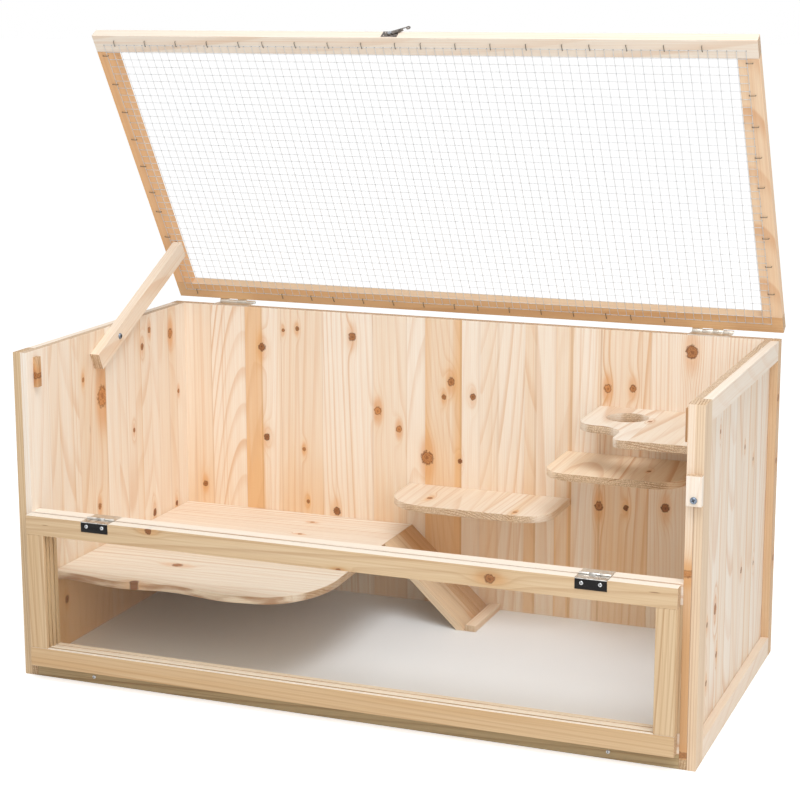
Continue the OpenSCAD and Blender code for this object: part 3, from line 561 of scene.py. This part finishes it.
def leaf_with_painted_reflection():
    """Steel hinge leaf painted near black on its front outer face, a painted reflection of dark surroundings; bare
    steel on the fold and the knuckles.
    """
    made, t, shader = new_material("half_lacquered_leaf")
    fold_low, fold_high = 0.2470, 0.2478
    where = t.node("ShaderNodeTexCoord").outputs
    cloud = t.noise(where["Object"], 160.0, 3.0, 0.6)
    outer = t.span(t.split(where["Normal"])[1], -0.6, -0.8)
    # painted reflection: the front-facing face below the fold turns near black
    black = outer * t.span(t.split(where["Object"])[2], fold_high, fold_low)
    steel = t.mix(t.span(cloud, 0.3, 0.7), rgb(172, 168, 162), rgb(232, 230, 226))
    t.fill(shader, Base_Color=t.mix(black, steel, rgb(24, 22, 22)), Specular_IOR_Level=0.2,
           Metallic=1.0 - black * 0.85, Roughness=t.mul_add(cloud, 0.2, 0.18))
    return made


def coated_board():
    """White coated board with a faint unevenness."""
    made, t, shader = new_material("white_board")
    where = t.node("ShaderNodeTexCoord").outputs["Object"]
    cloud = t.noise(where, 9.0, 4.0, 0.6)
    grain = t.noise(where, 420.0, 2.0)
    t.fill(shader, Base_Color=t.mix(cloud, rgb(245, 247, 250), rgb(250, 252, 255)),
           Roughness=t.mul_add(grain, 0.16, 0.38), Normal=t.bump(grain, 0.12, 0.0002))
    return made


def clear_sheet():
    """Clear acrylic that lets lamp light through."""
    made, t, shader = new_material("clear_sheet")
    smear = t.noise(t.node("ShaderNodeTexCoord").outputs["Object"], 6.0, 5.0, 0.65)
    t.fill(shader, Base_Color=(0.96, 0.97, 0.97, 1.0), Transmission_Weight=1.0, IOR=1.15,
           Specular_IOR_Level=0.4, Roughness=t.span(smear, 0.35, 0.8, 0.0, 0.05))
    unseen = t.fill(t.node("ShaderNodeBsdfTransparent"), Color=(1.0, 0.98, 0.945, 1.0))
    rays = t.node("ShaderNodeLightPath").outputs
    lighting = t.math("MAXIMUM", rays["Is Shadow Ray"], rays["Is Diffuse Ray"])
    t.put(t.either(lighting, shader.outputs[0], unseen.outputs[0]), t.surface)
    return made


# ---------------- pieces

SHARP = math.radians(40)
WOOD_EDGE, TIGHT_EDGE, BEARER_EDGE, METAL_EDGE = 0.0008, 0.0003, 0.0004, 0.00012
LARGE_FACE = 4e-4  # square metres; faces from this size up are shaded flat


def painted(obj, material):
    obj.data.materials.clear()
    obj.data.materials.append(material)


def finished(obj, material, node):
    """Gives a made piece its material, and the body of its CAD node."""
    painted(obj, material)
    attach(obj, BODY_OF[node])


def stands_for(obj, material, *nodes):
    """Finishes a made piece that takes the place of CAD nodes."""
    finished(obj, material, nodes[0])
    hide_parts(*nodes)


def from_work(name, work):
    """A new object from an editable mesh, which is then freed."""
    mesh = bpy.data.meshes.new(name)
    work.to_mesh(mesh)
    work.free()
    return placed(name, mesh)


def merged(node):
    """An editable copy of a CAD node's mesh, its double points joined."""
    work = bmesh.new()
    work.from_mesh(NODES[node].data)
    bmesh.ops.remove_doubles(work, verts=work.verts, dist=1e-6)
    return work


def applied(obj):
    """Turns a piece and its modifiers into one plain mesh."""
    graph = bpy.context.evaluated_depsgraph_get()
    mesh = bpy.data.meshes.new_from_object(obj.evaluated_get(graph))
    obj.modifiers.clear()
    obj.data = mesh
    mesh.name = obj.name
    return obj


def eased(node, name, material, edge, angle=35):
    """A CAD node remade in flat faces with softly rounded edges."""
    work = merged(node)
    bmesh.ops.dissolve_limit(work, angle_limit=math.radians(0.6), verts=work.verts,
                             edges=work.edges)
    obj = from_work(name, work)
    stored = obj.data.attributes.get("custom_normal")
    if stored:
        obj.data.attributes.remove(stored)
    bevel = obj.modifiers.new("edges", "BEVEL")
    bevel.width = edge
    bevel.segments = 2
    bevel.limit_method = "ANGLE"
    bevel.angle_limit = math.radians(angle)
    bevel.use_clamp_overlap = True
    applied(obj)
    obj.data.set_sharp_from_angle(angle=SHARP)
    for face in obj.data.polygons:
        face.use_smooth = face.area < LARGE_FACE
    stands_for(obj, material, node)


# ---------------- materials in use

# Stave edges and tones run from left to right or from front to back.
BACK_EDGES = [
    -0.490, -0.462, -0.430, -0.368, -0.339, -0.303, -0.231, -0.144, -0.086, -0.056, 0.005,
    0.035, 0.066, 0.108, 0.127, 0.160, 0.184, 0.231, 0.309, 0.370, 0.490,
]
BACK_TONES = [
    0.20, 0.32, 0.08, 0.80, 0.10, 0.36, 0.02, 0.30, 0.06, 0.52, 0.06,
    0.26, 0.10, 0.50, 0.10, 0.34, 0.06, 0.40, 0.15, 0.12,
]
LEFT_EDGES = [
    -0.248, -0.191, -0.164, -0.125, -0.108, -0.029, 0.005, 0.033, 0.061, 0.083, 0.113, 0.139,
    0.173, 0.200, 0.231,
]
LEFT_TONES = [
    0.06, 0.26, 0.12, 0.28, 0.44, 0.04, 0.16, 0.08, 0.24, 0.12, 0.04, 0.18, 0.34, 0.06,
]
RIGHT_EDGES = [
    -0.250, -0.209, -0.170, -0.128, -0.085, -0.040, 0.002, 0.045, 0.090, 0.135, 0.180, 0.231,
]
RIGHT_TONES = [0.46, 0.10, 0.38, 0.04, 0.22, 0.02, 0.28, 0.12, 0.34, 0.04, 0.16]
BACK_KNOTS = [
    (0.416, -0.337, 0.0058, 0.8), (0.267, -0.331, 0.0052, 0.9), (0.443, -0.178, 0.0060, 0.6),
    (0.154, -0.207, 0.0060, 0.8), (0.178, -0.445, 0.0042, 0.6), (0.326, -0.134, 0.0058, 0.1),
    (0.299, -0.098, 0.0046, 0.2), (0.256, -0.050, 0.0095, 0.45), (0.382, -0.010, 0.0058, 0.5),
    (0.357, -0.022, 0.0034, 0.6), (0.361, 0.026, 0.0044, 0.7), (0.256, 0.005, 0.0034, 0.9),
    (0.390, 0.243, 0.0058, 0.2), (0.393, 0.282, 0.0050, 0.5), (0.455, 0.371, 0.0085, 0.6),
    (0.205, 0.232, 0.0062, 0.6), (0.206, 0.275, 0.0040, 1.0), (0.212, 0.336, 0.0062, 0.9),
    (0.165, -0.258, 0.0028, 0.6), (0.446, -0.299, 0.0026, 0.6), (0.450, -0.274, 0.0032, 0.7),
    (0.252, -0.264, 0.0030, 0.4),
]
LEFT_KNOTS = [
    (0.377, -0.039, 0.0140, 0.10, -0.029), (0.455, 0.112, 0.0042, 0.4),
    (0.432, 0.088, 0.0044, 0.6), (0.438, 0.181, 0.0070, 0.2), (0.338, 0.205, 0.0032, 0.4),
    (0.413, -0.094, 0.0032, 0.3), (0.304, 0.055, 0.0032, 0.5), (0.208, -0.057, 0.0044, 0.4),
    (0.155, 0.115, 0.0052, 0.9), (0.151, 0.190, 0.0036, 0.9), (0.090, -0.160, 0.0050, 0.6),
]
RIGHT_KNOTS = [
    (0.200, -0.188, 0.0040, 0.5), (0.172, -0.102, 0.0062, 0.4), (0.165, -0.149, 0.0032, 0.7),
    (0.104, -0.087, 0.0042, 0.6), (0.083, -0.145, 0.0036, 0.7), (0.358, 0.063, 0.0030, 0.6),
    (0.327, 0.123, 0.0026, 0.8), (0.415, -0.100, 0.0028, 0.5), (0.179, 0.063, 0.0040, 0.6),
    (0.166, 0.149, 0.0028, 0.7), (0.262, -0.249, 0.0046, 0.3), (0.020, -0.249, 0.0040, 0.7),
]
FLAP_KNOTS = [
    (-0.277, 0.245, 0.0042, 0.9), (0.227, 0.233, 0.0062, 0.7), (0.012, 0.220, 0.0034, 0.8),
]
DECK_KNOTS = [
    (-0.320, -0.104, 0.0070, 0.6), (-0.220, 0.114, 0.0030, 0.4), (-0.230, 0.184, 0.0030, 0.3),
    (-0.339, -0.201, 0.0060, 1.0),
]
SHELF_KNOTS = [
    (0.154, -0.016, 0.0042, 0.7), (0.124, 0.132, 0.0030, 0.6), (0.150, 0.330, 0.0030, 0.6),
]
POST_KNOTS = [
    (0.300, 0.236, 0.0040, 0.7), (0.395, 0.234, 0.0045, 0.6), (0.150, 0.238, 0.0045, 0.7),
]
RAMP_KNOTS = [(0.030, 0.165, 0.0060, 0.6), (0.060, 0.195, 0.0045, 0.4)]

# middles of slanting members, across their grain
LID_FRONT = (OPEN_LID @ Vector((0, -0.2325, 0.49))).dot(ALONG_LID)
LID_REAR = (OPEN_LID @ Vector((0, 0.2445, 0.49))).dot(ALONG_LID)
STRUT_MIDDLE = Vector((0, -0.007, 0.466)).dot(ACROSS_PROP)

DOWN_RAMP = Vector((0.735, 0, -0.678)).normalized()
# painted highlight for the tops of the window and flap rails
PAINTED_TOP_HIGHLIGHT = rgb(253, 245, 232)

# The back panel and the side boards are painted darker low down, painted shade.
WOODS = {
    "back_panel": wood("back_wood", Z, X, laid_staves(BACK_EDGES, BACK_TONES),
                       lines=0.42, knots=BACK_KNOTS, pins=0.10,
                       painted_low_shade=(0.33, 0.10, 0.42, 0.0, -Y)),
    "left_boards": wood("left_wood", Z, Y, laid_staves(LEFT_EDGES, LEFT_TONES, 40.0),
                        lines=0.28, knots=LEFT_KNOTS, pins=0.08,
                        painted_low_shade=(0.16, 0.11, 0.9, 0.0, X)),
    "right_boards": wood("right_wood", Z, Y, laid_staves(RIGHT_EDGES, RIGHT_TONES, 80.0),
                         lines=0.42, knots=RIGHT_KNOTS, pins=0.10,
                         painted_low_shade=(0.36, 0.14, 0.55, 0.40, -Y), seams=2.4),
    "side_rails": wood("side_rail_wood", Y, Z, members(11, (0.02, 0.3), (0.46, 0.12)),
                       lines=0.4),
    "left_stiles": wood("left_stile_wood", Z, Y, members(12, (-0.23, 0.3), (0.236, 0.3)),
                        hues=FRONT, lines=0.4),
    "right_stiles": wood("right_stile_wood", Z, Y, members(14, (-0.23, 0.12), (0.236, 0.62)),
                         hues=TAWNY, lines=0.45, knots=POST_KNOTS),
    "sill": wood("sill_wood", Y, Z, members(15, (0.0, 0.5)), hues=OLIVE_PAINTED_SHADE),
    "base_rail": wood("base_rail_wood", X, Z, members(16, (0.0, 0.3)), hues=OLIVE_PAINTED_SHADE, lines=0.5),
    "window_rails": wood("window_rail_wood", X, Z, members(17, (0.04, 0.4), (0.235, 0.05)),
                         lines=0.4, painted_top_light=(0.5, PAINTED_TOP_HIGHLIGHT)),
    "flap_rails": wood("flap_rail_wood", X, Z, members(18, (0.04, 0.5), (0.232, 0.35)),
                       hues=FRONT, lines=0.38, knots=FLAP_KNOTS, painted_top_light=(0.85, PAINTED_TOP_HIGHLIGHT)),
    "front_stiles": wood("front_stile_wood", Z, X, members(19, (-0.45, 0.4), (0.45, 0.3)),
                         hues=FRONT, lines=0.34),
    # the tops of the lid rails take a darker colour, painted shade
    "lid_rails": wood("lid_rail_wood", X, ALONG_LID,
                      members(21, (LID_FRONT, 0.10), (LID_REAR, 1.05)), lines=0.5,
                      painted_top_light=(0.35, rgb(226, 212, 196))),
    "lid_stiles": wood("lid_stile_wood", ALONG_LID, X,
                       members(23, (-0.485, 0.85), (0.485, 0.28)), hues=WARM, lines=0.5),
    "deck": wood("deck_wood", X, Y, even_staves(0.05, 25.0, 0.14, 0.4), hues=PLAIN, lines=0.5,
                 knots=DECK_KNOTS, stain=0.8),
    "shelf": wood("shelf_wood", Y, X, even_staves(0.052, 27.0, 0.22, 0.5), hues=PLAIN,
                  lines=0.5, knots=SHELF_KNOTS, pins=0.15),
    "middle_shelf": wood("middle_shelf_wood", Y, X, even_staves(0.052, 28.0, 0.05, 0.4),
                         hues=HONEY, lines=0.45, knots=SHELF_KNOTS, pins=0.15),
    "ramp": wood("ramp_wood", DOWN_RAMP, Y, laid_staves([0.11, 0.172, 0.235], [0.0, 0.45], 60.0),
                 hues=BROWN, lines=0.6, knots=RAMP_KNOTS),
    "cross_batten": wood("cross_batten_wood", Y, X, even_staves(0.2, 31.0, 0.4, 0.2)),
    "strut": wood("strut_wood", ALONG_PROP, ACROSS_PROP, members(33, (STRUT_MIDDLE, 0.35)),
                  lines=0.5),
    "button": wood("button_wood", Z, X, members(35, (0.490, 0.05)), lines=0.12),
    "stop": wood("stop_wood", Z, X, members(37, (-0.474, 0.35), (0.474, 0.75)), hues=BROWN,
                 lines=0.6, knots=[(0.445, -0.474, 0.0042, 0.6)]),
}
WELD = metal("weld", rgb(150, 152, 154), 0.5, 0.8, 0.3)
ZINC = metal("zinc_wire", rgb(226, 229, 232), 0.45, 0.88, 0.3)
BRIGHT = metal("bright_screw", rgb(196, 200, 206), 0.3, 0.6)
STEEL = metal("hinge_steel", rgb(232, 227, 218), 0.34, 0.84)
# hinge leaves with a painted dark reflection on their front face
DARK_REFLECTION_LEAF = leaf_with_painted_reflection()
# latch nickel in a darker grey, deeply clouded: painted dark reflection
NICKEL_PAINTED_DARK = metal("dark_nickel", rgb(150, 142, 136), 0.24, 0.35)
WHITE_BOARD = coated_board()
CLEAR = clear_sheet()
SCREW = metal("zinc_screw", rgb(206, 208, 210), 0.32, 0.7, 0.9, grain=400.0, recess=True)
SCREW_BLUE = metal("blue_zinc_screw", rgb(140, 152, 168), 0.32, 0.7, 0.9, grain=400.0,
                   recess=True)
STAPLE = metal("staple_wire", rgb(112, 104, 92), 0.4, 0.6, 0.6)

WOOD_FOR = {
    "left_frame_rails": "side_rails", "right_frame_rails": "side_rails",
    "left_frame_stiles": "left_stiles", "right_frame_stiles": "right_stiles",
    "left_boards": "left_boards", "right_boards": "right_boards",
    "left_sill": "sill", "right_sill": "sill", "back_panel": "back_panel",
    "floor_bearers": "cross_batten", "base_rail": "base_rail",
    "window_rails": "window_rails", "window_stiles": "front_stiles",
    "flap_rails": "flap_rails", "flap_stiles": "front_stiles",
    "stop_blocks": "stop", "platform": "deck", "platform_battens": "cross_batten",
    "ramp": "ramp", "ramp_foot": "cross_batten",
    "shelf_low": "shelf", "shelf_mid": "middle_shelf", "shelf_top": "shelf",
    "lid_rails": "lid_rails", "lid_stiles": "lid_stiles",
    "prop_strut": "strut", "turn_button": "button",
}
METAL_FOR = {
    "bar_hinge_leaves": STEEL, "flap_hinge_leaves": DARK_REFLECTION_LEAF,
    "back_hinge_leaves": STEEL, "lid_hinge_leaves": STEEL,
    "latch_plate": NICKEL_PAINTED_DARK, "latch_hook": NICKEL_PAINTED_DARK, "latch_rivet": BRIGHT, "latch_peg": BRIGHT,
    "flap_hinge_pins": BRIGHT, "lid_hinge_pins": BRIGHT,
}


# ---------------- geometry nodes

WIRE = 0.0004  # radius
WAVER = 0.0014  # twice the farthest a wire strays sideways
MESH_PITCH = 0.0128
LAYER_STEP = 1.7  # wire radii between the middles of the two layers
WELD_SIZE = 1.9  # wire radii
STRAIGHT = (0.0, 0.0, 0.0)


class GeoTree(Tree):
    """A Geometry Nodes tree with named inputs."""

    def __init__(self, name, **inputs):
        tree = bpy.data.node_groups.new(name, "GeometryNodeTree")
        super().__init__(tree)
        add = tree.interface.new_socket
        for label, kind in {"Geometry": "Geometry", **inputs}.items():
            add(label, in_out="INPUT", socket_type="NodeSocket" + kind)
        add("Geometry", in_out="OUTPUT", socket_type="NodeSocketGeometry")
        self.given = self.inputs_of_group()

    def step(self, kind, **values):
        """Adds a geometry node with its inputs by name; returns its first output."""
        return self.out(self.fill(self.node("GeometryNode" + kind), **values))

    def end_painted(self, shape):
        """Ends the tree with the given shape in the given material."""
        paint = self.step("SetMaterial", Geometry=shape, Material=self.given["Material"])
        self.fill(self.node("NodeGroupOutput"), Geometry=paint)
        return self.tree


def grown(name, tree, values, base=None):
    """An object whose geometry a node tree makes, turned into a plain mesh."""
    obj = placed(name, base or bpy.data.meshes.new(name))
    step = obj.modifiers.new("grow", "NODES")
    step.node_group = tree
    names = {s.name: s.identifier for s in tree.interface.items_tree if s.in_out == "INPUT"}
    for label, value in values.items():
        step[names[label]] = value
    return applied(obj)


def wire_tree():
    """Parallel wires, evenly spaced along Y, each a thin tube along X with a slight waver."""
    g = GeoTree("parallel_wires", Length="Float", Span="Float", Count="Int", Steps="Int",
                Seed="Float", Material="Material")
    given = g.given
    rows = g.node("GeometryNodeMeshLine", mode="END_POINTS")
    g.fill(rows, Count=given["Count"], Offset=g.combine(0.0, given["Span"], 0.0))
    half = given["Length"] * 0.5
    line = g.step("CurvePrimitiveLine", Start=g.combine(half * -1.0, 0.0, 0.0),
                  End=g.combine(half, 0.0, 0.0))
    line = g.step("ResampleCurve", Curve=line, Count=given["Steps"])
    lines = g.step("InstanceOnPoints", Points=g.out(rows), Instance=line)
    lines = g.step("RealizeInstances", Geometry=lines)
    x, y, _ = g.split(g.step("InputPosition"))
    sway = g.noise(g.combine(x * 11.0, y * 300.0, given["Seed"]), 1.0, 2.0) - 0.5
    lines = g.step("SetPosition", Geometry=lines, Offset=g.combine(0.0, sway * WAVER, 0.0))
    ring = g.step("CurvePrimitiveCircle", Resolution=6, Radius=WIRE)
    tubes = g.step("CurveToMesh", Curve=lines, Profile_Curve=ring, Fill_Caps=True)
    return g.end_painted(g.step("SetShadeSmooth", Geometry=tubes))


def scatter_tree():
    """One shape set on every point, turned by the point's own angle."""
    g = GeoTree("set_on_points", Shape="Object", Facing="Vector", Material="Material")
    shape = g.fill(g.node("GeometryNodeObjectInfo"), Object=g.given["Shape"])
    spin = g.fill(g.node("GeometryNodeInputNamedAttribute", data_type="FLOAT"), Name="spin")
    turned = g.node("FunctionNodeRotateEuler", rotation_type="EULER", space="LOCAL")
    g.fill(turned, Rotation=g.given["Facing"],
           Rotate_By=g.combine(0.0, 0.0, g.out(spin, "Attribute")))
    spread = g.step("InstanceOnPoints", Points=g.given["Geometry"],
                    Instance=g.out(shape, "Geometry"), Rotation=g.out(turned))
    return g.end_painted(g.step("RealizeInstances", Geometry=spread))


WIRES = wire_tree()
SCATTER = scatter_tree()


def box_of(points):
    """Lowest and highest corner around some points."""
    return [Vector([end(p[i] for p in points) for i in range(3)]) for end in (min, max)]


def solids_of(node, turn=Matrix.Identity(4)):
    """Boxes of the separate solids of a CAD node, turned, in its order."""
    work = merged(node)
    seen, boxes = set(), []
    for start in work.verts:
        if start in seen:
            continue
        stack, points = [start], []
        seen.add(start)
        while stack:
            vert = stack.pop()
            points.append(turn @ vert.co)
            for edge in vert.link_edges:
                other = edge.other_vert(vert)
                if other not in seen:
                    seen.add(other)
                    stack.append(other)
        boxes.append(box_of(points))
    work.free()
    return boxes


def joined(name, *parts):
    """Several pieces made into one, each moved to its place."""
    work = bmesh.new()
    for obj, place in parts:
        obj.data.transform(place)
        work.from_mesh(obj.data)
        bpy.data.objects.remove(obj)
    return from_work(name, work)


def scattered(name, shape, places, spins, facing, material):
    """Copies of one shape at given places, as one plain mesh; the shape itself goes."""
    base = bpy.data.meshes.new(name)
    base.from_pydata([tuple(p) for p in places], [], [])
    base.attributes.new("spin", "FLOAT", "POINT").data.foreach_set("value", spins)
    made = grown(name, SCATTER, {"Shape": shape, "Facing": facing, "Material": material}, base)
    bpy.data.objects.remove(shape)
    for face in made.data.polygons:
        face.use_smooth = True
    made.data.set_sharp_from_angle(angle=SHARP)
    return made


# ---------------- wire mesh of the lid

def weld_drop():
    """The small lump where two wires are welded."""
    work = bmesh.new()
    bmesh.ops.create_icosphere(work, subdivisions=1, radius=WIRE * WELD_SIZE)
    return from_work("weld", work)


def make_wire_mesh():
    """Welded wire mesh: long wires against the lid, cross wires on them."""
    low, high = box_of([SHUT_LID @ v.co for v in NODES["mesh_long_wires"].data.vertices])
    length, width = high.x - low.x, high.y - low.y
    rows, columns = int(width / MESH_PITCH) + 1, int(length / MESH_PITCH) + 1
    run, rise = length - 2 * WIRE, width - 2 * WIRE
    top = high.z - WIRE
    middle = (low + high) / 2

    def layer(name, length, span, count, steps, seed):
        return grown(name, WIRES, {"Length": length, "Span": span, "Count": count,
                                   "Steps": steps, "Seed": seed, "Material": ZINC})

    long_wires = layer("long_wires", run, rise, rows, 60, 2.0)
    cross_wires = layer("cross_wires", rise, run, columns, 34, 9.0)
    lay = Matrix.Translation((middle.x, low.y + WIRE, top))
    turn = Matrix.Translation((high.x - WIRE, middle.y, top - LAYER_STEP * WIRE))
    turn = turn @ Matrix.Rotation(math.pi / 2, 4, "Z")
    mesh = joined("wire_mesh", (long_wires, OPEN_LID @ lay), (cross_wires, OPEN_LID @ turn))
    crossings = [
        OPEN_LID @ Vector((low.x + WIRE + run * i / (columns - 1),
                           low.y + WIRE + rise * j / (rows - 1),
                           top - LAYER_STEP / 2 * WIRE))
        for i in range(columns) for j in range(rows)]
    welds = scattered("welds", weld_drop(), crossings,
                      [0.3 * i for i in range(len(crossings))], STRAIGHT, WELD)
    finished(welds, WELD, "mesh_long_wires")
    for face in mesh.data.polygons:
        face.use_smooth = True
    stands_for(mesh, ZINC, "mesh_long_wires", "mesh_cross_wires")


def staple():
    """A bent wire staple, its legs pointing to +Z."""
    radius, reach, depth = 0.0005, 0.0045, 0.0023
    spine = [Vector(p) for p in (
        (-reach, 0, depth), (-reach, 0, 0.0010), (-reach + 0.0003, 0, 0.0005),
        (-reach + 0.0009, 0, radius), (0, 0, radius), (reach - 0.0009, 0, radius),
        (reach - 0.0003, 0, 0.0005), (reach, 0, 0.0010), (reach, 0, depth))]
    work = bmesh.new()
    rows = []
    for i, p in enumerate(spine):
        ahead = (spine[min(i + 1, len(spine) - 1)] - spine[max(i - 1, 0)]).normalized()
        up = ahead.cross(Y)
        rows.append([work.verts.new(p + radius * (Y * math.cos(a) + up * math.sin(a)))
                     for a in (math.tau * k / 6 for k in range(6))])
    for low, high in zip(rows, rows[1:]):
        for k in range(6):
            work.faces.new((low[k - 1], low[k], high[k], high[k - 1]))
    work.faces.new(rows[0])
    work.faces.new(rows[-1])
    bmesh.ops.recalc_face_normals(work, faces=work.faces)
    return from_work("staple", work)


def make_staples():
    """Staples over the edge of the mesh, pressed into the lid frame, each a little askew."""
    places, spins = [], []
    for i, (low, high) in enumerate(solids_of("mesh_staples", SHUT_LID)):
        middle = (low + high) / 2
        middle.z = low.z
        places.append(middle)
        turned = math.pi / 2 if high.y - low.y > high.x - low.x else 0.0
        spins.append(turned + 0.07 * math.sin(12.9 * i + 1.3))
    made = scattered("staples", staple(), places, spins, STRAIGHT, STAPLE)
    made.data.transform(OPEN_LID)
    stands_for(made, STAPLE, "mesh_staples")


# ---------------- screws

# the way a screw head faces, and the turn that brings +Z there
FRONTWARD = -Y, (math.pi / 2, 0.0, 0.0)
BACKWARD = Y, (-math.pi / 2, 0.0, 0.0)
INWARD = X, (0.0, math.pi / 2, 0.0)
# radius and height of a head, and its metal
SMALL_HEAD = 0.0028, 0.0012, SCREW
BUTTON_HEAD = 0.0046, 0.0020, SCREW_BLUE
STRUT_HEAD = 0.0046, 0.0024, SCREW_BLUE
SIDES = 20


def screw_head(radius, height):
    """A domed screw head with a cross recess, facing +Z, its seat at z = 0."""
    work = bmesh.new()
    # the faces of the cross recess are marked here for painted shade
    dark = work.faces.layers.float.new("recess")
    rings = []
    for share, level in ((1.0, 0.0), (1.0, 0.3), (0.88, 0.75), (0.62, 1.0)):
        rings.append([work.verts.new((radius * share * math.cos(a), radius * share * math.sin(a),
                                      height * level))
                      for a in (math.tau * i / SIDES for i in range(SIDES))])
    for low, high in zip(rings, rings[1:]):
        for i in range(SIDES):
            work.faces.new((low[i - 1], low[i], high[i], high[i - 1]))
    arm, half = radius * 0.50, radius * 0.13
    corners = [(arm, -half), (arm, half), (half, half), (half, arm), (-half, arm), (-half, half),
               (-arm, half), (-arm, -half), (-half, -half), (-half, -arm), (half, -arm),
               (half, -half)]
    cross = [work.verts.new((x, y, height)) for x, y in corners]
    floor = [work.verts.new((x * 0.8, y * 0.8, height * 0.35)) for x, y in corners]
    loops = [work.edges.get((rings[-1][i - 1], rings[-1][i])) for i in range(SIDES)]
    loops += [work.edges.new((cross[i - 1], cross[i])) for i in range(len(corners))]
    bmesh.ops.triangle_fill(work, edges=loops, use_beauty=True)
    recess = [work.faces.new((cross[i], cross[i - 1], floor[i - 1], floor[i]))
              for i in range(len(corners))]
    recess.append(work.faces.new(floor))
    work.faces.new(list(reversed(rings[0])))
    bmesh.ops.recalc_face_normals(work, faces=work.faces)
    # painted shade in the cross recess
    for face in recess:
        face[dark] = 1.0
    return from_work("screw_head", work)


def heads(node, head, way, wanted=lambda place: True):
    """Cross-head screws where the CAD has them, each seated on its face."""
    radius, height, material = head
    normal, facing = way
    axis = max(range(3), key=lambda i: abs(normal[i]))
    places = []
    for low, high in solids_of(node):
        middle = (low + high) / 2
        outer = high[axis] if normal[axis] > 0 else low[axis]
        middle[axis] = outer - height * normal[axis]
        if wanted(middle):
            places.append(middle)
    # no two neighbours have their crosses turned alike
    spins = [0.4 + 1.9 * i for i in range(len(places))]
    return scattered(node + "_heads", screw_head(radius, height), places, spins, facing,
                     material)


def make_screws():
    """One mesh of screw heads for each CAD node of screws in sight."""
    def one_way(node, head, way):
        stands_for(heads(node, head, way), head[2], node)

    one_way("flap_hinge_screws", SMALL_HEAD, FRONTWARD)
    one_way("bar_hinge_screws", SMALL_HEAD, BACKWARD)
    front = heads("case_screws", SMALL_HEAD, FRONTWARD, lambda place: place.y < 0)
    back = heads("case_screws", SMALL_HEAD, BACKWARD, lambda place: place.y > 0)
    stay = Matrix.Identity(4)
    stands_for(joined("case_screw_heads", (front, stay), (back, stay)), SCREW, "case_screws")
    one_way("button_screw", BUTTON_HEAD, FRONTWARD)
    one_way("prop_screw", STRUT_HEAD, INWARD)


# ---------------- wood and hinges

def make_eased_parts():
    """Wooden parts, glued boards with tight joints, and crisper hinge leaves, pins and latch."""
    edges = {"left_boards": TIGHT_EDGE, "right_boards": TIGHT_EDGE,
             "floor_bearers": BEARER_EDGE}
    for node, kind in WOOD_FOR.items():
        eased(node, node + "_wood", WOODS[kind], edges.get(node, WOOD_EDGE))
    for node, material in METAL_FOR.items():
        eased(node, node + "_part", material, METAL_EDGE, angle=40)


# ---------------- stage

def seen_rays(t):
    """1 where a ray shows a surface: to the camera, in shine or through glass."""
    rays = t.node("ShaderNodeLightPath").outputs
    indirect = t.math("MAXIMUM", rays["Is Glossy Ray"], rays["Is Transmission Ray"])
    return t.math("MAXIMUM", rays["Is Camera Ray"], indirect)


def make_floor():
    """A white floor that glows a little where it is seen."""
    material, t, shader = new_material("studio_floor")
    t.fill(shader, Base_Color=(0.9, 0.9, 0.9, 1), Roughness=0.9, Specular_IOR_Level=0.1)
    glow = t.fill(t.node("ShaderNodeEmission"), Strength=0.55)
    lit = t.feed(t.node("ShaderNodeAddShader"), shader.outputs[0], glow.outputs[0])
    t.put(t.either(seen_rays(t), shader.outputs[0], lit), t.surface)
    half, level = 30.0, -0.0005
    mesh = bpy.data.meshes.new("studio_floor")
    mesh.from_pydata([(x * half, y * half, level) for x, y in
                      ((-1, -1), (1, -1), (1, 1), (-1, 1))], [], [(0, 1, 2, 3)])
    mesh.materials.append(material)
    placed("studio_floor", mesh)


def make_world():
    """A white world, brighter where it is seen than where it lights."""
    world = bpy.data.worlds.new("studio")
    bpy.context.scene.world = world
    world.use_nodes = True
    world.node_tree.nodes.clear()
    t = Tree(world.node_tree)
    back = t.fill(t.node("ShaderNodeBackground"), Color=(1, 1, 1, 1),
                  Strength=t.mul_add(seen_rays(t), 0.50, 0.50))
    t.fill(t.node("ShaderNodeOutputWorld"), Surface=back.outputs[0])


def add_lamp(name, size, power, place, target):
    """A square soft lamp at a place, turned to a target."""
    data = bpy.data.lights.new(name, "AREA")
    data.shape = "SQUARE"
    data.size = size
    data.energy = power
    place, target = Vector(place), Vector(target)
    turn = (target - place).to_track_quat("-Z", "Y").to_matrix().to_4x4()
    placed(name, data).matrix_world = Matrix.Translation(place) @ turn


make_eased_parts()
make_wire_mesh()
make_screws()
make_staples()
# pieces shown in their own CAD shape
for node, material in (("window_pane", CLEAR), ("flap_pane", CLEAR),
                       ("floor_board", WHITE_BOARD), ("back_hinge_screws", BRIGHT),
                       ("lid_hinge_screws", BRIGHT)):
    painted(NODES[node], material)
make_floor()
make_world()
add_lamp("top_lamp", 1.7, 47, (0.6, -1.2, 2.9), (0, 0, 0.2))
add_lamp("front_lamp", 2.2, 30, (2.2, -2.9, 1.9), (0, 0, 0.3))

bpy.context.scene.view_settings.view_transform = "Standard"
